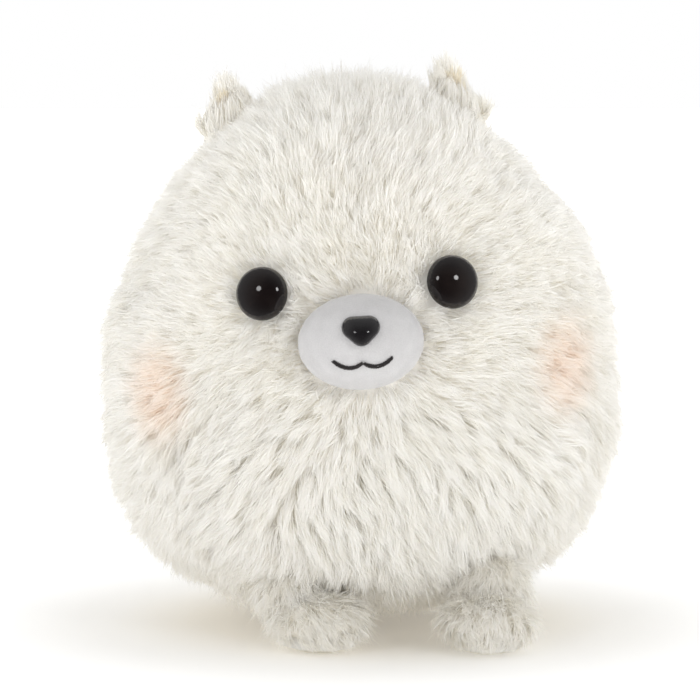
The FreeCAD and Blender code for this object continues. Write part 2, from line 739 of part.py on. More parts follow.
def make_tail(skin, deep_skin):
    """A short stuffed tail on a round root."""
    place = tail_place()
    behind = place.multiply(at(0, dim("tail_behind"), 0))
    swing = dim("tail_swing_deg")
    still = FreeCAD.Placement()
    root = sphere("tail_root", "tail_root_radius", place)
    outer = ellipsoid("tail_tuft", "tail_half_width", "tail_half_length", "tail_half_width",
                      behind)
    clear = cut("tail_tuft_clear", outer, swung("tail_around", skin, place.Base, swing, still))
    around = [moved("tail_within", deep_skin, still)]
    names = ("tail_hollow", "tail_filling")
    inner = [cut(name + "_clear", ellipsoid(name, "tail_half_width - tail_pile",
                                            "tail_half_length - tail_pile",
                                            "tail_half_width - tail_pile", behind), around)
             for name in names]
    finish("tail_cover", cut("tail_shell", fuse("tail_both", [root, clear]), inner[:1]), lean())
    finish("tail_fill", inner[1], lean())


def build():
    fill_sheet()
    skin = solid_of_outline("skin", ())
    wide_skin = solid_of_outline("wide_skin", ("-body_clearance",))
    deep_skin = solid_of_outline("deep_skin", ("-body_clearance", "-foot_pile", "-swing_room"))
    make_ball(skin)
    make_eyes()
    make_muzzle()
    make_ears()
    make_legs(wide_skin)
    make_tail(wide_skin, deep_skin)
    doc.recompute()


def check():
    """Stop if any object failed or any sub-part is not one valid closed solid."""
    failed = [thing.Name for thing in doc.Objects
              if "Invalid" in thing.State or "Error" in thing.State]
    if failed:
        raise RuntimeError("failed objects: " + ", ".join(failed))
    for node, thing in finished.items():
        shape = thing.Shape
        if shape.isNull() or not shape.isValid() or shape.Volume <= 0:
            raise RuntimeError("bad shape: " + node)
        if len(shape.Solids) != 1:
            raise RuntimeError(f"{node} has {len(shape.Solids)} solids")


def write():
    os.makedirs("parts", exist_ok=True)
    for node, thing in finished.items():
        thing.Shape.exportStep(f"parts/{node}.step")
        size = thing.Shape.BoundBox
        print(f"{node:24s} {thing.Shape.Volume / 1000:9.2f} cm3  "
              f"x {size.XMin:7.1f} {size.XMax:7.1f}  y {size.YMin:7.1f} {size.YMax:7.1f}  "
              f"z {size.ZMin:7.1f} {size.ZMax:7.1f}")


build()
check()
write()
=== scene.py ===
import math

import bpy
import numpy as np
from mathutils import Matrix, Vector
from mathutils.bvhtree import BVHTree


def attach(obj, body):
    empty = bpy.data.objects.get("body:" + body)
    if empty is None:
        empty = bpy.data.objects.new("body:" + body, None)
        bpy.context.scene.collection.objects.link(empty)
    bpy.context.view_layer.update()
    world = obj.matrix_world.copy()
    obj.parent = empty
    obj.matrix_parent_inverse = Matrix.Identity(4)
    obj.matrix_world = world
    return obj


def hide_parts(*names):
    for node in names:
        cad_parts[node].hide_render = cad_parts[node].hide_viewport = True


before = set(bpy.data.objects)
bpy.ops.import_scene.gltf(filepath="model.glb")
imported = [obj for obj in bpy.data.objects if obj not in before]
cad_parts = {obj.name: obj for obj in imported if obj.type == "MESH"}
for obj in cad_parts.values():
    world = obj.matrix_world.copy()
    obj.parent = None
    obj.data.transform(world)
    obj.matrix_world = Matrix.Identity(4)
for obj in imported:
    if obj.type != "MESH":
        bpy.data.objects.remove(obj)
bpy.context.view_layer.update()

# Metres, +Z up. The dog faces -Y and its own left side is +X. "Ball" space is the ball body
# before it leans sideways, and LEAN_MATRIX leans it. The legs stand upright in world space.

# ---- driving dimensions ----

BODY_RADIUS = 0.162
CORNER_RADIUS = 0.120
BELLY_HEIGHT = 0.130
SHOULDER_HEIGHT = 0.145
CROWN_HEIGHT = 0.350
CROWN_RADIUS = 0.150
LEAN = math.radians(3.5)
LEAN_HEIGHT = 0.137
BELLY_SPLIT = math.radians(25.0)
GORE_NAMES = ("front_left", "side_left", "back_left", "back_right", "side_right", "front_right")
FRONT = math.radians(-90.0)
GORE_ANGLE = math.radians(60.0)
BALL_MIDDLE = np.array([0.0, 0.0, 0.18])
PILE_DEPTH = 0.0125

EYE_X, EYE_HEIGHT, EYE_RADIUS, EYE_DOME, EYE_SUNK = 0.0573, 0.222, 0.016, 0.0107, 0.003
EYE_TURN, EYE_TILT = math.radians(20.0), math.radians(8.0)
MUZZLE_CENTRE = Vector((0.0, -0.155, 0.191))
MUZZLE_HALF = Vector((0.038, 0.032, 0.029))
NOSE_HEIGHT = 0.200
SIDES = {"left": 1, "right": -1}
LEGS = {"front_right": (-0.042, -0.092, 40.0), "front_left": (0.076, -0.092, -4.0),
        "rear_right": (-0.036, 0.090, 168.0), "rear_left": (0.078, 0.090, 190.0)}
HIP_HEIGHT, HIP_RADIUS = 0.036, 0.026
FOOT_HALF = Vector((0.029, 0.033, 0.019))
FOOT_AHEAD, FOOT_HEIGHT = 0.021, 0.017
EAR_X, EAR_Y, EAR_DEPTH, EAR_TILT = 0.072, -0.015, 0.010, math.radians(28.0)
EAR_HALF_BASE, EAR_TIP_HEIGHT, EAR_ROOT = 0.0200, 0.0250, 0.0134
EAR_TIP_SIDES = {"left": 0.018, "right": 0.011}
TAIL_PLACE = Vector((0.0, 0.150, 0.100))
TAIL_HALF = Vector((0.017, 0.023, 0.017))
TAIL_ROOT, TAIL_BEHIND = 0.0125, 0.018
BLUSH_PLACE, BLUSH_HALF = Vector((0.125, -0.100, 0.163)), (0.020, 0.045, 0.027)
LABEL_WIDTH, LABEL_LENGTH, LABEL_HEIGHT, LABEL_TURN = 0.0195, 0.024, 0.062, math.radians(30.0)
STITCHED_FROM, STITCHED_TO, STITCH_PITCH = 0.121, 0.200, 0.0038

LEAN_MATRIX = (Matrix.Translation((0, 0, LEAN_HEIGHT)) @ Matrix.Rotation(-LEAN, 4, "Y")
               @ Matrix.Translation((0, 0, -LEAN_HEIGHT)))

# ---- small helpers ----

def unit(v):
    """Each row of v at length 1."""
    return v / np.maximum(np.linalg.norm(v, axis=-1, keepdims=True), 1e-9)


def smooth(value, low, high):
    """0 below low, 1 above high, with a soft step between."""
    x = np.clip((value - low) / (high - low), 0.0, 1.0)
    return x * x * (3 - 2 * x)


def flatten(v, normal):
    """The part of v that lies in the surface, as a unit vector."""
    return unit(v - (v * normal).sum(-1, keepdims=True) * normal)


def moved(points, matrix):
    """numpy points through a 4x4 matrix."""
    return turned(points, matrix) + np.array(matrix)[:3, 3]


def turned(vectors, matrix):
    return vectors @ np.array(matrix)[:3, :3].T


def fine(value):
    return value


def listed_mesh(name, verts, faces):
    mesh = bpy.data.meshes.new(name)
    mesh.from_pydata([tuple(v) for v in verts], [], faces)
    return mesh


def mesh_points(mesh):
    flat = np.empty(len(mesh.vertices) * 3, np.float32)
    mesh.vertices.foreach_get("co", flat)
    return flat.reshape(-1, 3).astype(float)


def move_points(mesh, points):
    mesh.vertices.foreach_set("co", points.reshape(-1).astype(np.float32))
    mesh.update()


def add_object(name, data):
    thing = bpy.data.objects.new(name, data)
    bpy.context.scene.collection.objects.link(thing)
    return thing


def place_mesh(name, verts, faces, body, material):
    """A piece from plain lists, riding on a body."""
    return place(name, listed_mesh(name, verts, faces), body, material)


def place(name, mesh, body, material, smooth_shading=True):
    """A piece made of a mesh, riding on a body, with its material."""
    piece = add_object(name, mesh)
    mesh.materials.clear()
    mesh.materials.append(material)
    if smooth_shading:
        mesh.shade_smooth()
    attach(piece, body)
    return piece


def apply_modifiers(piece):
    graph = bpy.context.evaluated_depsgraph_get()
    mesh = bpy.data.meshes.new_from_object(piece.evaluated_get(graph))
    piece.modifiers.clear()
    piece.data = mesh
    return piece


def wobble(points, size, seed):
    """Soft noise from -1 to 1 at each point, its lumps about `size` across."""
    rng = np.random.default_rng(seed)
    total = np.zeros(len(points))
    waves = 7
    for _ in range(waves):
        wave = unit(rng.normal(size=3)) * (2 * math.pi / (size * rng.uniform(1.3, 2.8)))
        total += np.sin(points @ wave + rng.uniform(0, 2 * math.pi))
    return total / math.sqrt(waves)


def seen_from(azimuth, elevation):
    """The direction of a place seen from the dog: degrees round from its front, and up."""
    a, e = math.radians(azimuth), math.radians(elevation)
    return Vector((math.sin(a) * math.cos(e), -math.cos(a) * math.cos(e), math.sin(e)))


def aim_from(thing, aim, azimuth, elevation, distance):
    """Stand a light or a camera off from the aim, looking at it."""
    thing.location = aim + distance * seen_from(azimuth, elevation)
    thing.rotation_euler = (aim - thing.location).to_track_quat("-Z", "Y").to_euler()


# ---- faces over stacked rings of points ----

def band(rings, segments):
    """Quads between neighbouring closed rings."""
    faces = []
    for k in range(segments):
        n = (k + 1) % segments
        faces += [(r * segments + k, r * segments + n, (r + 1) * segments + n,
                   (r + 1) * segments + k) for r in range(rings - 1)]
    return faces


def fan_ended(rings, segments):
    """A band closed at each end by a fan to a point; the two points follow the rings."""
    first, last, base = rings * segments, rings * segments + 1, (rings - 1) * segments
    faces = band(rings, segments)
    for k in range(segments):
        n = (k + 1) % segments
        faces += [(first, n, k), (last, base + k, base + n)]
    return faces


def flat_ended(rings, segments):
    """A band closed at each end by a flat face."""
    end = range((rings - 1) * segments, rings * segments)
    return band(rings, segments) + [tuple(reversed(range(segments))), tuple(end)]


def turned_over(faces):
    """The same faces seen from their other side."""
    return [(face[0], *face[:0:-1]) for face in faces]


# ---- materials ----

def new_material(name, roughness, **sockets):
    material = bpy.data.materials.new(name)
    material.use_nodes = True
    shader = material.node_tree.nodes["Principled BSDF"]
    shader.inputs["Roughness"].default_value = roughness
    for socket, value in sockets.items():
        shader.inputs[socket.replace("_", " ")].default_value = value
    return material, material.node_tree, shader


def link(tree, source, target):
    tree.links.new(source, target)


def object_place(tree):
    return tree.nodes.new("ShaderNodeTexCoord").outputs["Object"]


def noise(tree, scale, detail=3.0):
    """Noise in object space."""
    texture = tree.nodes.new("ShaderNodeTexNoise")
    texture.inputs["Scale"].default_value = scale
    texture.inputs["Detail"].default_value = detail
    link(tree, object_place(tree), texture.inputs["Vector"])
    return texture.outputs["Fac"]


def ramp(tree, factor, stops):
    """A colour ramp through (position, colour) stops."""
    node = tree.nodes.new("ShaderNodeValToRGB")
    elements = node.color_ramp.elements
    while len(elements) < len(stops):
        elements.new(0.5)
    for element, (position, colour) in zip(elements, stops):
        element.position = position
        element.color = (*colour, 1.0)
    link(tree, factor, node.inputs["Fac"])
    return node.outputs["Color"]


def mix(tree, factor, first, second, kind="MIX"):
    """Mix two colours; each is a colour tuple or a socket, and factor a number or a socket."""
    node = tree.nodes.new("ShaderNodeMix")
    node.data_type = "RGBA"
    node.blend_type = kind
    for index, value in ((0, factor), (6, first), (7, second)):
        socket = node.inputs[index]
        if isinstance(value, bpy.types.NodeSocket):
            link(tree, value, socket)
        else:
            socket.default_value = value if index == 0 else (*value, 1.0)
    return node.outputs[2]


def bump(tree, shader, height, strength, distance):
    node = tree.nodes.new("ShaderNodeBump")
    node.inputs["Strength"].default_value = strength
    node.inputs["Distance"].default_value = distance
    link(tree, height, node.inputs["Height"])
    link(tree, node.outputs["Normal"], shader.inputs["Normal"])


def vector_math(tree, operation, socket, value=None):
    node = tree.nodes.new("ShaderNodeVectorMath")
    node.operation = operation
    link(tree, socket, node.inputs[0])
    if value is not None:
        node.inputs[1].default_value = value
    return node.outputs["Value" if operation == "LENGTH" else "Vector"]


def times(tree, socket, factor):
    """A value multiplied by a number or by another socket."""
    node = tree.nodes.new("ShaderNodeMath")
    node.operation = "MULTIPLY"
    link(tree, socket, node.inputs[0])
    if isinstance(factor, bpy.types.NodeSocket):
        link(tree, factor, node.inputs[1])
    else:
        node.inputs[1].default_value = factor
    return node.outputs["Value"]


def map_range(tree, socket, source, target, kind="LINEAR"):
    """A value taken from the source span to the target span."""
    node = tree.nodes.new("ShaderNodeMapRange")
    node.interpolation_type = kind
    for prefix, span in (("From", source), ("To", target)):
        node.inputs[prefix + " Min"].default_value = span[0]
        node.inputs[prefix + " Max"].default_value = span[1]
    link(tree, socket, node.inputs["Value"])
    return node.outputs["Result"]


def spot(tree, centre, half, soft):
    """1 inside an egg-shaped spot, fading to 0 at soft times its size."""
    away = vector_math(tree, "SUBTRACT", object_place(tree), centre)
    length = vector_math(tree, "LENGTH", vector_math(tree, "DIVIDE", away, half))
    return map_range(tree, length, (soft, 0.35), (0.0, 1.0), "SMOOTHSTEP")


WHITE_PILE = ((0.30, (0.965, 0.952, 0.915)), (0.52, (0.98, 0.970, 0.942)),
              (0.75, (0.988, 0.981, 0.962)))
BLUSH, BLUSH_STRENGTH = (0.98, 0.72, 0.52), 0.25


def pile_material(name, stops=WHITE_PILE, blush=False):
    """Long white pile: soft patches, fine streaks and, on the cheeks, a peach tint."""
    material, tree, shader = new_material(name, 0.82, Sheen_Weight=0.15, Sheen_Roughness=0.5,
                                          Specular_IOR_Level=0.2)
    colour = ramp(tree, noise(tree, 55.0, 4.0), stops)
    streaks = ramp(tree, noise(tree, 900.0, 2.0), [(0.3, (0.965, 0.96, 0.95)), (0.7, (1, 1, 1))])
    colour = mix(tree, 1.0, colour, streaks, "MULTIPLY")
    if blush:
        for side in SIDES.values():
            centre = LEAN_MATRIX @ Vector((side * BLUSH_PLACE.x, *BLUSH_PLACE.yz))
            mask = spot(tree, centre, BLUSH_HALF, 1.5)
            colour = mix(tree, times(tree, mask, BLUSH_STRENGTH), colour, BLUSH)
    link(tree, colour, shader.inputs["Base Color"])
    return material


def backing_material():
    """Knitted backing under the pile, a little warmer than the pile."""
    material, tree, shader = new_material("knit_backing", 0.9)
    colour = ramp(tree, noise(tree, 40.0), [(0.3, (0.90, 0.875, 0.82)), (0.7, (0.95, 0.935, 0.895))])
    link(tree, colour, shader.inputs["Base Color"])
    bump(tree, shader, noise(tree, 700.0, 1.0), 0.4, 0.0006)
    return material


def velboa_material(name, light, dark):
    """Short dense pile: a fine grain with softer brushed patches."""
    material, tree, shader = new_material(name, 0.85, Sheen_Weight=0.35, Sheen_Roughness=0.4,
                                          Specular_IOR_Level=0.2)
    patches = ramp(tree, noise(tree, 90.0, 3.0), [(0.3, dark), (0.7, light)])
    grain = ramp(tree, noise(tree, 1500.0, 2.0), [(0.3, (0.9, 0.9, 0.9)), (0.7, (1, 1, 1))])
    link(tree, mix(tree, 1.0, patches, grain, "MULTIPLY"), shader.inputs["Base Color"])
    bump(tree, shader, noise(tree, 1100.0, 2.0), 0.5, 0.0007)
    return material


def gloss_material(name, colour, lighter, roughness):
    """Polished moulded plastic: deep colour with faint mould marks."""
    material, tree, shader = new_material(name, roughness, Specular_IOR_Level=0.5)
    tint = ramp(tree, noise(tree, 60.0), [(0.35, colour), (0.8, lighter)])
    link(tree, tint, shader.inputs["Base Color"])
    bump(tree, shader, noise(tree, 260.0, 1.0), 0.03, 0.0002)
    return material


def thread_material(name, dark, light, roughness=0.55):
    """Twisted thread or woven ribbon, with a fine grain."""
    material, tree, shader = new_material(name, roughness, Sheen_Weight=0.2)
    tint = ramp(tree, noise(tree, 1400.0, 2.0), [(0.3, dark), (0.75, light)])
    link(tree, tint, shader.inputs["Base Color"])
    bump(tree, shader, noise(tree, 2500.0, 1.0), 0.4, 0.0002)
    return material


PILE = pile_material("long_pile", blush=True)
PILE_PLAIN = pile_material("long_pile_plain")
FOOT_PILE = pile_material("foot_pile")
# Ear lining pile: its beige is partly the lining fabric's own cream and partly painted shade of the
# ear's hollow.
EAR_LINING_SHADE_PILE = pile_material("ear_lining_pile_painted_shade", [(0.3, (0.90, 0.84, 0.71)), (0.55, (0.94, 0.895, 0.79)),
                                             (0.8, (0.965, 0.94, 0.87))])
BACKING = backing_material()
VELBOA = velboa_material("muzzle_velboa", (0.63, 0.62, 0.62), (0.57, 0.56, 0.56))
SOLE = velboa_material("sole_velboa", (0.90, 0.88, 0.82), (0.82, 0.80, 0.74))
EYE_BLACK = gloss_material("eye_black", (0.006, 0.004, 0.004), (0.014, 0.010, 0.009), 0.06)
NOSE_BLACK = gloss_material("nose_black", (0.010, 0.009, 0.010), (0.022, 0.020, 0.021), 0.09)
WASHER = velboa_material("washer_plastic", (0.85, 0.85, 0.83), (0.78, 0.78, 0.76))
MOUTH_THREAD = thread_material("mouth_thread", (0.008, 0.006, 0.006), (0.04, 0.03, 0.03))
SEAM_THREAD = thread_material("seam_thread", (0.62, 0.59, 0.52), (0.80, 0.77, 0.70))
RIBBON = thread_material("label_ribbon", (0.80, 0.79, 0.77), (0.90, 0.89, 0.87), 0.4)
FIBRE = velboa_material("polyester_fibre", (0.93, 0.93, 0.92), (0.84, 0.84, 0.82))


# ---- the ball's outline ----

OUTLINE_STEP = 0.001


def ball_outline():
    """Radius, height and outward normal along the half outline, from the base to the crown."""
    step = OUTLINE_STEP
    flat = BODY_RADIUS - CORNER_RADIUS
    crown_z = CROWN_HEIGHT - CROWN_RADIUS
    rise = crown_z - SHOULDER_HEIGHT
    side = (BODY_RADIUS ** 2 + rise ** 2 - CROWN_RADIUS ** 2) / (2 * (BODY_RADIUS - CROWN_RADIUS))
    meet = math.atan2(rise, side - BODY_RADIUS)
    base = BELLY_HEIGHT - CORNER_RADIUS
    rows = [(r, base, 0.0, -1.0) for r in np.arange(0.0, flat, step)]

    def arc(centre_r, centre_z, radius, start, end):
        for angle in np.linspace(start, end, int(radius * (end - start) / step), endpoint=False):
            c, s = math.cos(angle), math.sin(angle)
            rows.append((centre_r + radius * c, centre_z + radius * s, c, s))

    arc(flat, BELLY_HEIGHT, CORNER_RADIUS, -math.pi / 2, 0.0)
    rows.extend((BODY_RADIUS, z, 1.0, 0.0) for z in np.arange(BELLY_HEIGHT, SHOULDER_HEIGHT, step))
    arc(BODY_RADIUS - side, SHOULDER_HEIGHT, side, 0.0, meet)
    arc(0.0, crown_z, CROWN_RADIUS, meet, math.pi / 2)
    rows.append((0.0, CROWN_HEIGHT, 0.0, 1.0))
    return np.array(rows)


OUTLINE = ball_outline()
OUTLINE_LENGTH = len(OUTLINE) - 1
SIDE_ROW = 60  # past the flat base, so that each height is met once
BELLY_SEAM_ROW = (BODY_RADIUS - CORNER_RADIUS + CORNER_RADIUS * BELLY_SPLIT) / OUTLINE_STEP


def on_ball(row, azimuth, inset):
    """Points and normals in ball space; row counts steps along the outline."""
    values = [np.interp(row, np.arange(len(OUTLINE)), OUTLINE[:, k]) for k in range(4)]
    r, z, nr, nz = values
    c, s = np.cos(azimuth), np.sin(azimuth)
    normal = unit(np.stack([nr * c, nr * s, nz], -1))
    return np.stack([r * c, r * s, z], -1) - normal * inset, normal


def skin_radius(height):
    """The ball's radius at a height above its flat base."""
    return OUTLINE[SIDE_ROW + int(np.argmin(np.abs(OUTLINE[SIDE_ROW:, 1] - height))), 0]


def skin_y(x, height):
    """Front surface of the ball (ball space) at x and a height."""
    return -math.sqrt(skin_radius(height) ** 2 - x * x)


def eye_matrix(side):
    """Eye centre at the rim, its Z along the eye's outward axis, in world space."""
    facing = Matrix.Rotation(side * EYE_TURN, 4, "Z") @ Matrix.Rotation(math.pi / 2 - EYE_TILT, 4, "X")
    centre = Vector((side * EYE_X, skin_y(EYE_X, EYE_HEIGHT), EYE_HEIGHT))
    centre -= facing.to_3x3() @ Vector((0, 0, EYE_SUNK))
    return LEAN_MATRIX @ Matrix.Translation(centre) @ facing


def ear_matrix(side):
    """Middle of the ear's sewn edge: X along the edge, Z out of the ball, in world space."""
    reach = CROWN_RADIUS - EAR_DEPTH
    z = CROWN_HEIGHT - CROWN_RADIUS + math.sqrt(reach ** 2 - EAR_X ** 2 - EAR_Y ** 2)
    return (LEAN_MATRIX @ Matrix.Translation((side * EAR_X, EAR_Y, z))
            @ Matrix.Rotation(side * EAR_TILT, 4, "Y"))


def hip_matrix(leg):
    """Middle of a leg's round root, -Y along the foot, in world space."""
    x, y, turn = LEGS[leg]
    return Matrix.Translation((x, y, HIP_HEIGHT)) @ Matrix.Rotation(math.radians(turn), 4, "Z")


# ---- pile ----

# A strand is two quads and a tip, with its width at the foot of each of the three.
STRAND_STEPS = (0.0, 0.36, 0.72, 1.0)
STRAND_WIDTHS = (1.0, 0.95, 0.62)
STRAND_FACES = ((0, 1, 3, 2), (2, 3, 5, 4), (4, 5, 6))
STRAND_VERTS = 7
STRAND_WIDTH = 0.00045
WILD_SHARE, WILD_REACH = 0.14, 3.2


def strands(root, normal, along, length, height, spread, per_lock, width, rng,
            tip_spread=0.0014, gather=0.5):
    """Fine tapered strands in locks. Each lock's strands rise from a patch and meet near its tip.

    root, normal, along (unit, in the surface), length, height and spread hold one row per lock.
    Returns the vertices, (strand, 7, 3).
    """
    count = len(root) * per_lock
    root, normal, along = (np.repeat(v, per_lock, 0) for v in (root, normal, along))
    length, height, spread = (np.repeat(v, per_lock) for v in (length, height, spread))
    across = np.cross(normal, along)
    angle = rng.uniform(0, 2 * math.pi, count)
    reach = np.sqrt(rng.uniform(0, 1, count))
    u = (reach * np.cos(angle))[:, None]
    v = (reach * np.sin(angle))[:, None]
    foot = root + (along * u + across * v) * spread[:, None] - normal * 0.0008
    part = rng.uniform(0.62, 1.06, count)
    high = height * rng.uniform(0.75, 1.12, count)
    run = np.sqrt(np.maximum(length ** 2 - height ** 2, (0.3 * length) ** 2)) * part
    wild = (rng.uniform(0, 1, count) < WILD_SHARE)[:, None]
    stray = rng.normal(0, 1, (count, 3)) * tip_spread * np.where(wild, WILD_REACH, 1.0)
    gather = np.repeat(np.broadcast_to(gather, count // per_lock), per_lock)
    tip = (root + (along * u + across * v) * (spread * gather)[:, None]
           + along * run[:, None] + normal * high[:, None] + stray)
    first = foot + normal * (high * 0.75)[:, None] + along * (run * 0.12)[:, None]
    second = (foot * 0.45 + tip * 0.55) + normal * (high * 0.42)[:, None]
    points = []
    for t in STRAND_STEPS:
        points.append(foot * (1 - t) ** 3 + first * 3 * t * (1 - t) ** 2
                      + second * 3 * t * t * (1 - t) + tip * t ** 3)
    roll = rng.uniform(-0.9, 0.9, count)[:, None]
    wide = width * rng.uniform(0.65, 1.25, count)
    verts = np.zeros((count, STRAND_VERTS, 3))
    for k, (start, end) in enumerate(zip(points, points[1:])):
        heading = unit(end - start)
        flat = unit(np.cross(heading, normal))
        side = flat * np.cos(roll) + np.cross(heading, flat) * np.sin(roll)
        half = side * (wide * STRAND_WIDTHS[k] / 2)[:, None]
        verts[:, 2 * k] = start - half
        verts[:, 2 * k + 1] = start + half
    verts[:, -1] = points[-1]
    return verts


def tufts(root, normal, along, length, lift, spread, per_lock, width, rng, tip_spread=0.0014):
    """Uneven locks of one kind, for the ears, the legs and the tail."""
    count = len(root)
    length = length * rng.uniform(0.8, 1.2, count)
    lift = lift * rng.uniform(0.7, 1.3, count)
    return strands(root, normal, along, length, lift, np.full(count, spread), fine(per_lock),
                   width, rng, tip_spread)


def strand_mesh(name, verts):
    """One mesh of many strands, with a flat layout for its baked colour."""
    count = len(verts)
    mesh = bpy.data.meshes.new(name)
    mesh.vertices.add(count * STRAND_VERTS)
    mesh.vertices.foreach_set("co", verts.reshape(-1).astype(np.float32))
    pattern = np.concatenate(STRAND_FACES)
    corners = (pattern[None, :] + np.arange(count)[:, None] * STRAND_VERTS).reshape(-1)
    sizes = np.tile([len(face) for face in STRAND_FACES], count)
    starts = np.concatenate([[0], np.cumsum(sizes)[:-1]])
    mesh.loops.add(len(corners))
    mesh.loops.foreach_set("vertex_index", corners.astype(np.int32))
    mesh.polygons.add(count * len(STRAND_FACES))
    mesh.polygons.foreach_set("loop_start", starts.astype(np.int32))
    mesh.update(calc_edges=True)
    layer = mesh.uv_layers.new(name="OFBake")
    flat = bake_layout(verts.reshape(-1, 3))
    layer.uv.foreach_set("vector", flat[corners].reshape(-1).astype(np.float32))
    return mesh


def bake_layout(points):
    """Flat places for the baked colour: the bearing and height of each point in its own piece."""
    centre = (points.max(0) + points.min(0)) / 2
    turn = math.atan2(centre[1], centre[0]) if np.linalg.norm(centre[:2]) > 0.02 else 0.0
    angle = np.arctan2(points[:, 1], points[:, 0]) - turn
    angle = (angle + math.pi) % (2 * math.pi) - math.pi
    flat = np.stack([angle, points[:, 2]], -1)
    low, high = flat.min(0), flat.max(0)
    return 0.01 + 0.98 * (flat - low) / (high - low)


# ---- stuffed cloth ----

PRESSURE, LAST_FRAME = 4.0, 20


def remeshed(mesh, cell):
    """A loose object of even cells over a closed mesh."""
    blank = add_object("remeshed", mesh)
    even = blank.modifiers.new("even", "REMESH")
    even.mode = "VOXEL"
    even.voxel_size = cell
    return apply_modifiers(blank)


def puffed(mesh, cell, cap, pinned=None):
    """A closed skin, remeshed and blown up as cloth; no point moves more than cap."""
    skin = remeshed(mesh, cell)
    start = mesh_points(skin.data)
    group = skin.vertex_groups.new(name="sewn")
    weights = pinned(start) if pinned else np.zeros(len(start))
    for index in np.nonzero(weights > 0.01)[0]:
        group.add([int(index)], float(weights[index]), "REPLACE")
    cloth = skin.modifiers.new("cloth", "CLOTH")
    cloth.settings.quality = 5
    cloth.settings.use_pressure = True
    cloth.settings.uniform_pressure_force = PRESSURE
    cloth.settings.effector_weights.gravity = 0.0
    cloth.settings.vertex_group_mass = "sewn"
    cloth.point_cache.frame_start = 1
    cloth.point_cache.frame_end = LAST_FRAME
    for step in range(1, LAST_FRAME + 1):
        bpy.context.scene.frame_set(step)
        graph = bpy.context.evaluated_depsgraph_get()
        after = mesh_points(skin.evaluated_get(graph).data)
    bpy.context.scene.frame_set(1)
    shift = after - start
    size = np.linalg.norm(shift, axis=1, keepdims=True)
    shift *= np.minimum(1.0, cap / np.maximum(size, 1e-9))
    skin.modifiers.clear()
    result = skin.data.copy()
    move_points(result, start + shift)
    bpy.data.objects.remove(skin)
    return result


def drop_onto(mesh, points, outward):
    """Nearest points and normals of a mesh, the normals on the outward side."""
    tree = BVHTree.FromPolygons([tuple(p) for p in mesh_points(mesh)],
                                [tuple(f.vertices) for f in mesh.polygons])
    feet, normals = np.empty_like(points), np.empty_like(points)
    for k, point in enumerate(points):
        foot, normal, _, _ = tree.find_nearest(Vector(point))
        feet[k], normals[k] = foot, normal
    flip = np.sign((normals * outward).sum(-1, keepdims=True))
    return feet, unit(normals * np.where(flip == 0, 1, flip))


# ---- the ball: backing ----

def seam_distance(points):
    """Metres from each point (ball space) to the nearest panel seam."""
    azimuth = np.arctan2(points[:, 1], points[:, 0])
    radius = np.hypot(points[:, 0], points[:, 1])
    off = (azimuth - FRONT + GORE_ANGLE / 2) % GORE_ANGLE - GORE_ANGLE / 2
    gores = np.abs(np.sin(off)) * radius
    seam = OUTLINE[int(BELLY_SEAM_ROW)]
    ring = np.hypot(radius - seam[0], points[:, 2] - seam[1])
    below = points[:, 2] < seam[1]
    return np.where(below, ring, np.minimum(gores, ring))


def revolved(rows, columns, inset):
    """A closed skin of revolution from the ball's outline, inset, in ball space."""
    row = np.linspace(0, OUTLINE_LENGTH, rows)[1:-1]
    angle = np.arange(columns) * 2 * math.pi / columns + FRONT
    rr, aa = np.meshgrid(row, angle, indexing="ij")
    points, _ = on_ball(rr.reshape(-1), aa.reshape(-1), inset)
    low, _ = on_ball(np.array([0.0]), np.array([0.0]), inset)
    high, _ = on_ball(np.array([float(OUTLINE_LENGTH)]), np.array([0.0]), inset)
    return np.concatenate([points, low, high]), fan_ended(len(row), columns)


def settled(points):
    """The uneven settling of the stuffing: one shoulder slack, the other full (world space)."""
    x, y, z = points[:, 0], points[:, 1], points[:, 2]
    one = smooth(-x, 0.03, 0.12)
    other = smooth(x, 0.03, 0.12)
    shift = -0.0045 * one * smooth(z, 0.19, 0.22) * (1 - smooth(z, 0.30, 0.33))
    shift = shift + 0.0040 * other * smooth(z, 0.17, 0.20) * (1 - smooth(z, 0.245, 0.27))
    shift = shift - 0.0045 * other * smooth(z, 0.262, 0.28) * (1 - smooth(z, 0.31, 0.335))
    shift = shift * (1 - smooth(-y, 0.08, 0.13))
    return points + unit(points - np.array([0, 0, 0.17])) * shift[:, None]


def make_ball_backing():
    """The knitted skin of the ball: seven sewn panels, puffed between their seams."""
    mesh = listed_mesh("ball_skin", *revolved(64, 120, PILE_DEPTH + 0.001))

    def sewn(at):
        return 1.0 - smooth(seam_distance(at), 0.002, 0.010)

    mesh = puffed(mesh, 0.006, 0.002, sewn)
    points = mesh_points(mesh)
    inward = unit(BALL_MIDDLE - points)
    groove = (1.0 - smooth(seam_distance(points), 0.0, 0.009))[:, None] * 0.0022
    move_points(mesh, settled(moved(points + inward * groove, LEAN_MATRIX)))
    piece = place("ball_backing", mesh, "ball", BACKING)
    return piece


# ---- the ball: pile ----

def lock_roots(spacing, rng):
    """Jittered roots spread evenly over the ball: outline row and azimuth of each lock."""
    rows, azimuths = [], []
    step = spacing * 1000
    for low in np.arange(0, OUTLINE_LENGTH, step):
        radius = np.interp(low + step / 2, np.arange(len(OUTLINE)), OUTLINE[:, 0]) - PILE_DEPTH / 2
        count = max(1, int(round(2 * math.pi * max(radius, 0.002) / spacing)))
        rows.append(low + rng.uniform(0, step, count))
        azimuths.append((np.arange(count) + rng.uniform(-0.45, 0.45, count) + rng.uniform())
                        * 2 * math.pi / count)
    return np.clip(np.concatenate(rows), 0, OUTLINE_LENGTH), np.concatenate(azimuths)


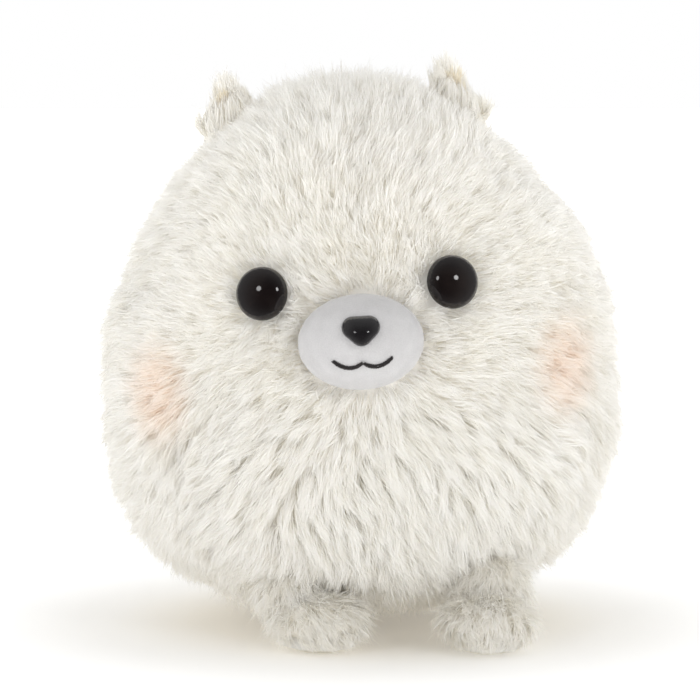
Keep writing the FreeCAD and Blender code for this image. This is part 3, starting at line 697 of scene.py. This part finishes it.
def nap(root, normal, rng):
    """Which way each lock lies: away from the muzzle, then downwards on the flanks and the back."""
    muzzle = moved(np.array([MUZZLE_CENTRE + Vector((0, 0.02, 0.004))]), LEAN_MATRIX)[0]
    away = unit(root - muzzle)
    facing, front = unit(root - BALL_MIDDLE), unit(muzzle - BALL_MIDDLE)
    angle = np.degrees(np.arccos(np.clip(facing @ front, -1, 1)))
    weight = smooth(angle, 30, 95) * (1 - 0.9 * smooth(root[:, 2], 0.25, 0.33))
    weight = weight + 1.2 * smooth(angle, 105, 150)
    along = away * (1 - 0.9 * smooth(angle, 115, 155))[:, None]
    along = along + np.array([0, 0, -1.0]) * weight[:, None]
    for side in SIDES.values():
        offset = root - np.array(eye_matrix(side).translation)
        near = 1 - smooth(np.linalg.norm(offset, axis=1), EYE_RADIUS, EYE_RADIUS * 2.3)
        along = along + unit(offset) * (near * 1.6)[:, None]
    along = flatten(along, normal)
    swirl = np.radians(24 * wobble(root, 0.045, 3) + 13 * rng.normal(size=len(root)))
    across = np.cross(normal, along)
    return along * np.cos(swirl)[:, None] + across * np.sin(swirl)[:, None]


def pile_shape(root, rng):
    """Length, height and patch size of the locks by where they grow."""
    x, y, z = root[:, 0], root[:, 1], root[:, 2]
    facing = smooth(-y, 0.02, 0.10)
    chest = facing * smooth(z, 0.055, 0.085) * (1 - smooth(z, 0.135, 0.165))
    face = facing * smooth(z, 0.155, 0.19) * (1 - smooth(z, 0.27, 0.30))
    belly = 1 - smooth(z, 0.035, 0.070)
    flank = 1 - facing
    length = 0.020 + 0.007 * chest - 0.005 * face - 0.005 * belly + 0.003 * flank
    height = 0.0120 + 0.001 * chest - 0.001 * face - 0.003 * belly
    height += 0.0030 * flank * (1 - smooth(z, 0.20, 0.25))
    height -= 0.0030 * flank * smooth(z, 0.24, 0.27) * (1 - smooth(z, 0.315, 0.335))
    height += 0.0015 * smooth(z, 0.32, 0.34)
    for side in SIDES.values():
        ear = np.array(ear_matrix(side).translation)
        near = 1 - smooth(np.linalg.norm(root - ear, axis=1), 0.020, 0.050)
        height *= 1 - 0.10 * near
        length *= 1 - 0.10 * near
    length *= rng.uniform(0.8, 1.2, len(root))
    height *= rng.uniform(0.7, 1.3, len(root)) * (1 + 0.12 * wobble(root, 0.03, 5))
    parting = facing * (1 - smooth(np.abs(x + 0.002), 0.002, 0.010)) * smooth(z, 0.09, 0.12)
    height *= 1 - 0.35 * parting
    spread = 0.0043 * rng.uniform(0.8, 1.2, len(root))
    gather = 0.80 - 0.45 * chest - 0.15 * flank
    return length, height, spread, gather


def keep_clear(verts):
    """Which strands stay out of the eyes, the muzzle and the floor."""
    keep = verts[:, :, 2].min(1) > 0.0012
    probes = verts[:, 1:, :]
    for side in SIDES.values():
        local = moved(probes, eye_matrix(side).inverted())
        reach = np.hypot(local[..., 0], local[..., 1])
        keep &= ~((reach < EYE_RADIUS * 0.93) & (local[..., 2] > -0.006)).any(1)
    inside = moved(probes, LEAN_MATRIX.inverted())
    muzzle = (inside - np.array(MUZZLE_CENTRE)) / (np.array(MUZZLE_HALF) * 0.99)
    keep &= ~((muzzle ** 2).sum(-1) < 1.0).any(1)
    front = (inside[..., 0] / 0.0298) ** 2 + ((inside[..., 2] - 0.190) / 0.0224) ** 2
    keep &= ~((front < 1.0) & (inside[..., 1] < MUZZLE_CENTRE.y)).any(1)
    return keep


def root_clear(root):
    """Roots that aren't under the muzzle, the eyes, an ear root, a hip or the tail."""
    inside = moved(root, LEAN_MATRIX.inverted())
    muzzle = (inside - np.array(MUZZLE_CENTRE)) / (np.array(MUZZLE_HALF) + 0.001)
    keep = (muzzle ** 2).sum(1) > 1.0
    for side in SIDES.values():
        local = moved(root, eye_matrix(side).inverted())
        keep &= np.hypot(local[:, 0], local[:, 1]) > EYE_RADIUS * 1.02
        local = moved(root, ear_matrix(side).inverted())
        beyond = np.maximum(np.abs(local[:, 0]) - 0.021, 0)
        keep &= np.sqrt(beyond ** 2 + local[:, 1] ** 2 + local[:, 2] ** 2) > 0.0145
    for x, y, _ in LEGS.values():
        keep &= np.linalg.norm(root - np.array([x, y, HIP_HEIGHT]), axis=1) > HIP_RADIUS + 0.001
    tail = np.linalg.norm(inside - np.array(TAIL_PLACE), axis=1)
    return keep & (tail > 0.016)


def place_pile(name, verts, body, material):
    return place(name, strand_mesh(name, verts), body, material, False)


def make_ball_pile(backing):
    """Long white pile in locks over the whole ball: the belly, and two pieces for each gore."""
    rng = np.random.default_rng(11)
    spacing, per_lock = fine((0.0060, 36))
    row, azimuth = lock_roots(spacing, rng)
    points, normals = on_ball(row, azimuth, PILE_DEPTH)
    panel = np.floor(((azimuth - FRONT) % (2 * math.pi)) / GORE_ANGLE).astype(int) % 6
    panel = np.where(row < BELLY_SEAM_ROW, 6, panel)
    points, normals = moved(points, LEAN_MATRIX), turned(normals, LEAN_MATRIX)
    root, normal = drop_onto(backing.data, points, normals)
    normal = unit(normal * 0.4 + normals * 0.6)
    clear = root_clear(root)
    root, normal, panel = root[clear], normal[clear], panel[clear]
    along = nap(root, normal, rng)
    length, height, spread, gather = pile_shape(root, rng)
    high = root[:, 2] > 0.17
    groups = [("belly", panel == 6)]
    for k, name in enumerate(GORE_NAMES):
        groups += [(name + "_upper", (panel == k) & high), (name + "_lower", (panel == k) & ~high)]
    for name, pick in groups:
        verts = strands(root[pick], normal[pick], along[pick], length[pick], height[pick],
                        spread[pick], per_lock, STRAND_WIDTH, rng, gather=gather[pick])
        place_pile(name + "_pile", verts[keep_clear(verts)], "ball", PILE)


# ---- eyes, nose, muzzle and mouth ----

def lathe(profile, segments, matrix):
    """A closed turned solid: profile of (radius, height) from axis to axis."""
    verts = []
    inner = profile[1:-1]
    for radius, height in inner:
        for k in range(segments):
            angle = 2 * math.pi * k / segments
            verts.append(matrix @ Vector((radius * math.cos(angle), radius * math.sin(angle), height)))
    verts += [matrix @ Vector((0, 0, height)) for _, height in (profile[0], profile[-1])]
    return verts, turned_over(fan_ended(len(inner), segments))


def make_eyes():
    """Domed safety eyes: a polished cap with a rounded rim, on a post inside the ball."""
    for word, side in SIDES.items():
        rim = 0.0012
        profile = [(0.0, EYE_DOME)]
        for t in np.linspace(0.04, 1.0, 26):
            angle = t * math.pi / 2
            profile.append((EYE_RADIUS * math.sin(angle), EYE_DOME * math.cos(angle)))
        for t in np.linspace(0.15, 1.0, 6):
            angle = t * math.pi / 2
            profile.append((EYE_RADIUS - rim + rim * math.cos(angle), -rim * math.sin(angle)))
        profile += [(0.006, -rim), (0.0031, -rim - 0.0006), (0.0030, -0.0195), (0.0026, -0.0199),
                    (0.0, -0.0199)]
        verts, faces = lathe(profile, 96, eye_matrix(side))
        piece = place_mesh(word + "_eye_dome", verts, faces, "ball", EYE_BLACK)
        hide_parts(word + "_eye")


def muzzle_depth(x, z):
    """Front of the muzzle egg (ball space) at x and z."""
    across = (x - MUZZLE_CENTRE.x) / MUZZLE_HALF.x
    up = (z - MUZZLE_CENTRE.z) / MUZZLE_HALF.z
    return MUZZLE_CENTRE.y - MUZZLE_HALF.y * math.sqrt(max(0.0, 1 - across ** 2 - up ** 2))


def make_muzzle():
    """The padded short-pile muzzle, held at its sewn edge, with a faint crease below the nose."""
    verts = []
    rings, segments = 48, 96
    for r in range(1, rings):
        polar = math.pi * r / rings
        for k in range(segments):
            angle = 2 * math.pi * k / segments
            verts.append(Vector((math.sin(polar) * math.cos(angle), -math.cos(polar),
                                 math.sin(polar) * math.sin(angle))))
    verts += [Vector((0, -1, 0)), Vector((0, 1, 0))]
    half = MUZZLE_HALF - Vector((1, 1, 1)) * 0.0006
    mesh = listed_mesh("muzzle_skin", [v * half + MUZZLE_CENTRE for v in verts],
                       [face[::-1] for face in fan_ended(rings - 1, segments)])

    def sewn(at):
        return smooth(at[:, 1], MUZZLE_CENTRE.y + 0.002, MUZZLE_CENTRE.y + 0.012)

    mesh = puffed(mesh, 0.004, 0.0012, sewn)
    points = mesh_points(mesh)
    points[:, 1] += 0.0008 * np.exp(-((points[:, 0] / 0.0025) ** 2)) * (points[:, 2] < NOSE_HEIGHT)
    move_points(mesh, moved(points, LEAN_MATRIX))
    piece = place("muzzle_velboa", mesh, "ball", VELBOA)
    piece.modifiers.new("rounded", "SUBSURF").levels = 1
    apply_modifiers(piece)
    piece.data.shade_smooth()
    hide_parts("muzzle_cover")


def make_nose():
    """A rounded triangular nose, its broad side uppermost, domed forward."""
    corners = [Vector((-0.0048, 0, 0.0018)), Vector((0.0048, 0, 0.0018)), Vector((0, 0, -0.0026))]
    rounding = 0.0064
    outline = []
    for k, corner in enumerate(corners):
        before, after = corners[k - 1], corners[(k + 1) % 3]
        start, end = side_bearing(before, corner), side_bearing(corner, after)
        while end > start:
            end -= 2 * math.pi
        for t in np.linspace(0, 1, 16):
            angle = start + (end - start) * t
            outline.append(Vector((corner.x + rounding * math.cos(angle), 0,
                                   corner.z + rounding * math.sin(angle))))
    outline = evenly(outline, 72)
    verts = []
    layers = [(0.86, -0.0045), (0.97, -0.0020), (1.0, 0.0)]
    layers += [(math.cos(t) ** 0.85, 0.0078 * math.sin(t)) for t in np.linspace(0.12, 1.5, 14)]
    for scale, rise in layers:
        for p in outline:
            x, z = p.x * scale, NOSE_HEIGHT + p.z * scale
            verts.append(Vector((x, muzzle_depth(x, z) - rise, z)))
    verts += [Vector((0, muzzle_depth(0, NOSE_HEIGHT) + 0.0045, NOSE_HEIGHT)),
              Vector((0, muzzle_depth(0, NOSE_HEIGHT) - 0.0079, NOSE_HEIGHT))]
    faces = turned_over(fan_ended(len(layers), len(outline)))
    piece = place_mesh("nose_button", [LEAN_MATRIX @ v for v in verts], faces, "ball", NOSE_BLACK)
    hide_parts("nose")


def side_bearing(start, end):
    """Bearing of the outward normal of a side walked clockwise seen from the front."""
    step = (end - start).normalized()
    return math.atan2(step.x, -step.z)


def evenly(points, count):
    """A closed loop of points, spaced evenly."""
    loop = np.array([tuple(p) for p in points] + [tuple(points[0])])
    run = np.concatenate([[0], np.cumsum(np.linalg.norm(np.diff(loop, axis=0), axis=1))])
    at = np.linspace(0, run[-1], count, endpoint=False)
    return [Vector([np.interp(value, run, loop[:, k]) for k in range(3)]) for value in at]


def mouth_path(side, count):
    """Points along one half of the smile, on the muzzle, in ball space."""
    low, lowest_x, end_x = 0.1785, 0.0074, 0.0176
    middle_rise, end_rise = 0.0028, 0.0049
    points = []
    for x in np.linspace(0.0001, end_x, count):
        if x < lowest_x:
            rise = middle_rise * ((lowest_x - x) / lowest_x) ** 2
        else:
            rise = end_rise * ((x - lowest_x) / (end_x - lowest_x)) ** 2
        points.append(Vector((side * x, muzzle_depth(x, low + rise), low + rise)))
    return points


def tube(points, radius):
    """A thread through points, drawn in at its ends."""
    sides = 6
    verts = []
    for k, point in enumerate(points):
        ahead = points[min(k + 1, len(points) - 1)] - points[max(k - 1, 0)]
        first = ahead.normalized().cross(Vector((0.3, 0.2, 0.93))).normalized()
        second = ahead.normalized().cross(first).normalized()
        reach = radius * (0.35 if k in (0, len(points) - 1) else 1.0)
        for s in range(sides):
            angle = 2 * math.pi * s / sides
            verts.append(point + reach * (first * math.cos(angle) + second * math.sin(angle)))
    return verts, flat_ended(len(points), sides)


def joined(parts):
    """Several (verts, faces) lists as one."""
    verts, faces = [], []
    for part_verts, part_faces in parts:
        start = len(verts)
        verts += part_verts
        faces += [tuple(index + start for index in face) for face in part_faces]
    return verts, faces


def make_mouth():
    """The smile: two bands of satin stitches, each thread laid slantwise across its path."""
    rng = np.random.default_rng(4)
    parts = []
    for side in SIDES.values():
        path = mouth_path(side, 74)
        for k in range(1, len(path) - 1):
            run = (path[k + 1] - path[k - 1]).normalized()
            out = Vector((path[k].x * 0.5, -1, (path[k].z - MUZZLE_CENTRE.z) * 0.8)).normalized()
            over = out.cross(run).normalized()
            slant = (over + run * 0.45).normalized()
            wide = 0.00115 * (0.75 + 0.25 * min(1.0, 6 * k / len(path), 6 * (1 - k / len(path))))
            wide *= rng.uniform(0.85, 1.18)
            centre = path[k] + out * 0.00015
            thread = [centre + slant * wide * t + out * (0.00062 * (1 - t * t) - 0.0002)
                      for t in (-1.15, -0.8, -0.3, 0.3, 0.8, 1.15)]
            parts.append(tube([LEAN_MATRIX @ point for point in thread], 0.00019))
    verts, faces = joined(parts)
    piece = place_mesh("smile_stitches", verts, faces, "ball", MOUTH_THREAD)
    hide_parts("mouth_stitches")


# ---- egg-shaped building blocks ----

def egg(half, centre):
    """A closed ellipsoid as (verts, faces)."""
    profile = [(math.sin(a), -math.cos(a)) for a in np.linspace(0, math.pi, 20)]
    profile[0], profile[-1] = (0.0, -1.0), (0.0, 1.0)
    verts, faces = lathe(profile, 32, Matrix.Identity(4))
    return [v * half + centre for v in verts], faces


def rod(radius, half_length):
    """A closed round-ended rod along X."""
    profile = [(radius * math.cos(a), -half_length + radius * 0.3 * math.sin(a))
               for a in np.linspace(-math.pi / 2, 0, 12)]
    profile += [(radius * math.cos(a), half_length + radius * 0.3 * math.sin(a))
                for a in np.linspace(0, math.pi / 2, 12)]
    profile[0], profile[-1] = (0.0, profile[0][1]), (0.0, profile[-1][1])
    return lathe(profile, 28, Matrix.Rotation(math.pi / 2, 4, "Y"))


def skin_mesh(name, parts, cell, cap):
    """Overlapping closed parts made into one sewn skin and puffed."""
    blank = remeshed(listed_mesh(name, *joined(parts)), cell)
    mesh = blank.data
    bpy.data.objects.remove(blank)
    return puffed(mesh, cell, cap)


def scattered(mesh, spacing, rng):
    """Random points over a mesh with their outward normals, about `spacing` apart."""
    mesh.calc_loop_triangles()
    points = mesh_points(mesh)
    corners = np.array([t.vertices[:] for t in mesh.loop_triangles])
    a, b, c = (points[corners[:, k]] for k in range(3))
    cross = np.cross(b - a, c - a)
    area = np.linalg.norm(cross, axis=1) / 2
    smooth_normals = np.zeros_like(points)
    for k in range(3):
        np.add.at(smooth_normals, corners[:, k], cross)
    smooth_normals = unit(smooth_normals)
    count = int(area.sum() / spacing ** 2)
    steps = (np.arange(count) + rng.uniform(0, 1, count)) / count
    face = np.clip(np.searchsorted(np.cumsum(area) / area.sum(), steps), 0, len(area) - 1)
    r1, r2 = np.sqrt(rng.uniform(0, 1, count))[:, None], rng.uniform(0, 1, count)[:, None]
    weights = (1 - r1, r1 * (1 - r2), r1 * r2)
    where = sum(w * points[corners[face, k]] for k, w in enumerate(weights))
    normal = unit(sum(w * smooth_normals[corners[face, k]] for k, w in enumerate(weights)))
    return where, normal


def inside_ball(points, inset):
    """Whether world points lie inside the ball's outline less an inset."""
    local = moved(points, LEAN_MATRIX.inverted())
    radius = np.hypot(local[:, 0], local[:, 1])
    tops = OUTLINE[:, 1]
    edge = np.interp(local[:, 2], tops, OUTLINE[:, 0])
    slope = np.interp(local[:, 2], tops, OUTLINE[:, 2])
    low = tops[0] + inset
    return (radius < edge - inset / np.maximum(slope, 0.35)) & (local[:, 2] > low)


# ---- ears ----

def make_ear(word, side):
    """A padded pointed flap on its root, white pile behind and round the edge, beige lining in front;
    the beige is partly the lining's own cream and partly painted shade of the ear's hollow.
    """
    rng = np.random.default_rng(30 + side)
    tip_side = side * EAR_TIP_SIDES[word]
    world = ear_matrix(side)
    rings, segments = 16, 28
    verts = []
    for r in range(rings):
        v = r / (rings - 1)
        half = EAR_HALF_BASE * (1 - v) ** 0.85 + 0.0012
        thick = 0.0019 * (1 - 0.45 * v)
        middle = -tip_side * v
        for k in range(segments):
            angle = 2 * math.pi * k / segments
            x = half * math.cos(angle)
            cup = 0.0030 * (1 - (x / half) ** 2) * math.sin(math.pi * min(1.0, v + 0.15))
            verts.append(Vector((middle + x, thick * math.sin(angle) + cup - 0.0005,
                                 EAR_TIP_HEIGHT * v * 0.97)))
    flap = (verts, flat_ended(rings, segments))
    mesh = skin_mesh(word + "_ear_form", [flap, rod(EAR_ROOT - 0.0040, EAR_HALF_BASE - 0.007)],
                     fine(0.0016), 0.0006)
    points, normals = scattered(mesh, fine(0.0034), rng)
    move_points(mesh, moved(mesh_points(mesh), world))
    skin = place(word + "_ear_skin", mesh, word + "_ear", BACKING)
    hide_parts(word + "_ear_outer", word + "_ear_inner")
    height = points[:, 2] / EAR_TIP_HEIGHT
    middle = -tip_side * np.clip(height, 0, 1)
    half = EAR_HALF_BASE * (1 - np.clip(height, 0, 0.98)) ** 0.85 + 0.001
    across = (points[:, 0] - middle) / half
    # The lining patch on the middle of the ear's front carries the beige, which is partly painted shade
    # of the hollow.
    lining = (normals[:, 1] < -0.3) & (np.abs(across) < 0.55) & (height > 0.30) & (height < 0.75)
    grow = np.array([-side * 0.45, 0.0, 1.0]) + np.stack(
        [across * (0.85 * np.clip(height, 0, 1) - 0.40), 0.15 * np.sign(points[:, 1]) * (1 - height),
         0 * across], -1)
    along = flatten(grow + 0.16 * rng.normal(size=points.shape), normals)
    outer = ~lining & (points[:, 2] >= 0.002)
    for name, pick, material, slot_name, length, lift in (
            (word + "_ear_pile", outer, PILE_PLAIN, "long_pile_plush", 0.0130, 0.0048),
            (word + "_ear_lining", lining, EAR_LINING_SHADE_PILE, "ear_lining_plush", 0.0085, 0.0032)):
        edge = 1 + 0.12 * (1 - smooth(height[pick], 0.15, 0.60))
        verts = tufts(moved(points[pick], world), turned(normals[pick], world),
                      turned(along[pick], world), length * edge, lift, 0.0030, 26, 0.00050, rng,
                      0.0009)
        place_pile(name, verts, word + "_ear", material)


# ---- legs ----

def make_leg(leg):
    """A short stuffed leg: skin, pile down to the floor, and a flat velboa sole."""
    rng = np.random.default_rng(50 + list(LEGS).index(leg))
    hip = hip_matrix(leg)
    inset = 0.0055
    foot = Vector((0, -FOOT_AHEAD, FOOT_HEIGHT - HIP_HEIGHT))
    half = FOOT_HALF - Vector((inset, inset, 0.004))
    mesh = skin_mesh(leg + "_leg_form",
                     [egg(Vector((1, 1, 1)) * (HIP_RADIUS - inset), Vector((0, 0, 0))),
                      egg(half, foot)], fine(0.0028), 0.0010)
    points = moved(mesh_points(mesh), hip)
    points[:, 2] = np.maximum(points[:, 2], 0.0028)
    move_points(mesh, points)
    skin = place(leg + "_leg_skin", mesh, leg + "_leg", BACKING)
    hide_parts(leg + "_leg_cover")
    root, normal = scattered(mesh, fine(0.0042), rng)
    pick = (normal[:, 2] > -0.75) & (root[:, 2] > 0.0032) & ~inside_ball(root, 0.0085)
    root, normal = root[pick], normal[pick]
    ahead = turned(np.array([[0, -1.0, 0]]), hip)[0]
    local = moved(root, hip.inverted())
    reach = smooth(-local[:, 1], 0.0, 0.030)
    grow = np.array([0, 0, -1.0]) + ahead * (0.9 * reach)[:, None]
    along = flatten(grow + 0.22 * rng.normal(size=root.shape), normal)
    above = smooth(root[:, 2], 0.004, 0.020)
    verts = tufts(root, normal, along, 0.0110 + 0.0035 * above, 0.0052 + 0.0008 * above, 0.0036, 30,
                  0.00047, rng, 0.0016)
    place_pile(leg + "_pile", verts[verts[:, :, 2].min(1) > 0.0003], leg + "_leg", FOOT_PILE)
    make_sole(leg, hip, foot)


def make_sole(leg, hip, foot):
    """A flat oval of velboa with a softly rounded edge, its face on the floor."""
    sink = FOOT_HEIGHT / FOOT_HALF.z
    scale = math.sqrt(1 - (sink * 0.90) ** 2)
    wide, long_way = FOOT_HALF.x * scale * 0.84, FOOT_HALF.y * scale * 0.86
    verts = []
    segments = 72
    layers = [(0.90, 0.00005), (0.955, 0.0003), (0.985, 0.0009), (1.0, 0.0017), (0.98, 0.0026),
              (0.90, 0.0030)]
    for scale_in, z in layers:
        for k in range(segments):
            angle = 2 * math.pi * k / segments
            verts.append(Vector((wide * scale_in * math.cos(angle),
                                 foot.y + long_way * scale_in * math.sin(angle), z - HIP_HEIGHT)))
    verts += [Vector((0, foot.y, layers[0][1] - HIP_HEIGHT)),
              Vector((0, foot.y, layers[-1][1] - HIP_HEIGHT))]
    piece = place_mesh(leg + "_sole_pad", [hip @ v for v in verts],
                       fan_ended(len(layers), segments), leg + "_leg", SOLE)
    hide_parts(leg + "_sole")


# ---- tail ----

def make_tail():
    """A short fluffy tail: stuffed skin on a round root, with long pile sweeping back."""
    rng = np.random.default_rng(70)
    inset = 0.006
    parts = [egg(Vector((1, 1, 1)) * TAIL_ROOT, TAIL_PLACE),
             egg(TAIL_HALF - Vector((1, 1, 1)) * inset, TAIL_PLACE + Vector((0, TAIL_BEHIND, 0)))]
    mesh = skin_mesh("tail_form", parts, fine(0.0024), 0.0008)
    move_points(mesh, moved(mesh_points(mesh), LEAN_MATRIX))
    skin = place("tail_skin", mesh, "tail", BACKING)
    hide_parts("tail_cover")
    root, normal = scattered(mesh, fine(0.0042), rng)
    pick = ~inside_ball(root, 0.004)
    root, normal = root[pick], normal[pick]
    grow = np.array([0, 1.0, 0.25]) + 0.2 * rng.normal(size=root.shape)
    verts = tufts(root, normal, flatten(grow, normal), 0.015, 0.0058, 0.0034, 28, 0.00052, rng)
    place_pile("tail_pile", verts, "tail", PILE_PLAIN)


# ---- small trim ----

def make_label():
    """A blank care ribbon, folded into a loop and sewn in the left side seam, slightly curled."""
    gap, sewn_in, half_thickness = 0.0005, 0.0055, 0.00012
    turn = Matrix.Rotation(LABEL_TURN, 4, "Z")
    start = skin_radius(LABEL_HEIGHT) - sewn_in
    total = LABEL_LENGTH + sewn_in
    steps, across = 26, 8
    front = [(total * t, gap + 0.0006 * math.sin(math.pi * t)) for t in np.linspace(0, 1, steps + 1)]
    loop = front + [(total + 0.0007, 0.0)] + [(u, -w) for u, w in reversed(front)]
    verts = []
    for thickness in (half_thickness, -half_thickness):
        for u, w in loop:
            outward = u + (thickness if w == 0 else 0)
            for c in range(across + 1):
                v = (c / across - 0.5) * LABEL_WIDTH
                droop = -0.10 * u * u / total
                curl = 0.0012 * math.sin(math.pi * u / total) * (2 * v / LABEL_WIDTH) ** 2
                verts.append(turn @ Vector((start + outward, w + thickness * np.sign(w) + curl,
                                            LABEL_HEIGHT + v + droop)))
    columns, half = across + 1, len(verts) // 2
    faces = []
    for a in range(half - columns):
        if a % columns < across:
            b = a + columns
            faces.append((a, a + 1, b + 1, b))
            faces.append((a + half, b + half, b + 1 + half, a + 1 + half))
    left, right = list(range(0, half, columns)), list(range(across, half, columns))
    last_row, first_row = list(range(half - columns, half)), list(range(columns))
    border = left + last_row[1:] + right[-2::-1] + first_row[-2::-1]
    faces += [(p, q, q + half, p + half) for p, q in zip(border, border[1:])]
    piece = place_mesh("label_loop", [LEAN_MATRIX @ v for v in verts], faces, "ball", RIBBON)
    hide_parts("care_label")


def make_closing_stitches():
    """Ladder stitches drawing the back seam shut between two heights."""
    half_width, thread_radius = 0.0019, 0.00032
    parts = []
    for height in np.arange(STITCHED_FROM, STITCHED_TO, STITCH_PITCH):
        radius = skin_radius(height) - PILE_DEPTH + 0.0006
        rung = [Vector((half_width * t, radius - 0.0006 * t * t, height + 0.0008 * t))
                for t in np.linspace(-1, 1, 7)]
        rail = [Vector((half_width, radius - 0.0009, height + STITCH_PITCH * t)) for t in (0, 0.5, 1)]
        parts += [tube([LEAN_MATRIX @ p for p in points], thread_radius) for points in (rung, rail)]
    verts, faces = joined(parts)
    piece = place_mesh("ladder_stitches", verts, faces, "ball", SEAM_THREAD)
    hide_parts("closing_stitches")


def finish_inner_nodes():
    """Stuffing and washers inside the dog keep their exact shapes and take a finish."""
    finishes = {"_fill": FIBRE, "_washer": WASHER}
    for name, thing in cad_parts.items():
        for ending, material in finishes.items():
            if name.endswith(ending):
                thing.data.materials.clear()
                thing.data.materials.append(material)


# ---- floor, light and camera ----

# Painted warm shadow: the floor's colour is warmer close round the dog and plain pale further out.
FLOOR_WARM_SHADE = ((0.10, (0.95, 0.91, 0.83)), (0.16, (0.95, 0.94, 0.915)), (0.24, (0.95, 0.95, 0.95)))
# name, degrees round from the dog's front, degrees up, distance, width, watts, seen in reflections
LAMPS = (("key_left", -33.0, 21.0, 2.2, 0.50, 4.6, True),
         ("key_right", 34.0, 21.0, 2.2, 0.46, 5.6, True),
         ("front_fill", 0.0, 9.0, 2.6, 2.40, 9.0, False))


def make_floor():
    """A pale table with painted warm shadow beside the dog and a painted glow (emission) that grows
    further out, so that it runs into the backdrop.
    """
    material, tree, shader = new_material("paper_floor", 0.9)
    length = vector_math(tree, "LENGTH", object_place(tree))
    tint = ramp(tree, length, FLOOR_WARM_SHADE)
    link(tree, tint, shader.inputs["Base Color"])
    # Painted glow: the floor emits light, more of it further from the dog.
    link(tree, map_range(tree, length, (0.18, 0.58), (0.14, 0.78)), shader.inputs["Emission Strength"])
    shader.inputs["Emission Color"].default_value = (1, 1, 1, 1)
    size = 30.0
    mesh = listed_mesh("floor", [(-size, -size, 0), (size, -size, 0), (size, size, 0),
                                 (-size, size, 0)], [(0, 1, 2, 3)])
    mesh.materials.append(material)
    floor = add_object("floor", mesh)
    floor.visible_glossy = False


def make_lights():
    """Two small softboxes that the eyes mirror, and a wide front fill that they don't."""
    for name, azimuth, elevation, distance, size, power, mirrored in LAMPS:
        lamp = bpy.data.lights.new(name, "AREA")
        lamp.shape = "DISK"
        lamp.size = size
        lamp.energy = power
        light = add_object(name, lamp)
        aim_from(light, Vector((0, 0, 0.17)), azimuth, elevation, distance)
        light.visible_glossy = mirrored


def make_world():
    """Bright white tent, darker behind the camera and in reflections; the backdrop itself is white."""
    world = bpy.data.worlds.new("tent")
    bpy.context.scene.world = world
    world.use_nodes = True
    tree = world.node_tree
    background = tree.nodes["Background"]
    background.inputs["Color"].default_value = (1, 1, 1, 1)
    split = tree.nodes.new("ShaderNodeSeparateXYZ")
    link(tree, tree.nodes.new("ShaderNodeTexCoord").outputs["Generated"], split.inputs["Vector"])
    path = tree.nodes.new("ShaderNodeLightPath")
    fade = map_range(tree, split.outputs["Y"], (-0.90, -0.10), (0.10, 1.02))
    dim = map_range(tree, path.outputs["Is Glossy Ray"], (0.0, 1.0), (1.0, 0.40))
    pick = tree.nodes.new("ShaderNodeMix")
    link(tree, path.outputs["Is Camera Ray"], pick.inputs[0])
    link(tree, times(tree, fade, dim), pick.inputs[2])
    pick.inputs[3].default_value = 1.0
    link(tree, pick.outputs[0], background.inputs["Strength"])


def make_camera():
    """A long lens in front of the dog, a little above its middle."""
    scene = bpy.context.scene
    lens = bpy.data.cameras.new("camera")
    lens.sensor_width = 36.0
    lens.lens = 161.7
    camera = add_object("camera", lens)
    aim_from(camera, Vector((-0.007, 0.0, 0.1725)), -1.0, 5.0, 2.0)
    scene.camera = camera
    scene.view_settings.view_transform = "Standard"
    scene.cycles.max_bounces = 20
    scene.cycles.diffuse_bounces = 16


# ---- the whole dog ----

ball_skin = make_ball_backing()
make_ball_pile(ball_skin)
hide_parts("belly_panel", *(name + "_panel" for name in GORE_NAMES))
make_eyes()
make_muzzle()
make_nose()
make_mouth()
for ear_word, ear_side in SIDES.items():
    make_ear(ear_word, ear_side)
for leg_name in LEGS:
    make_leg(leg_name)
make_tail()
make_label()
make_closing_stitches()
finish_inner_nodes()
make_floor()
make_lights()
make_world()
make_camera()
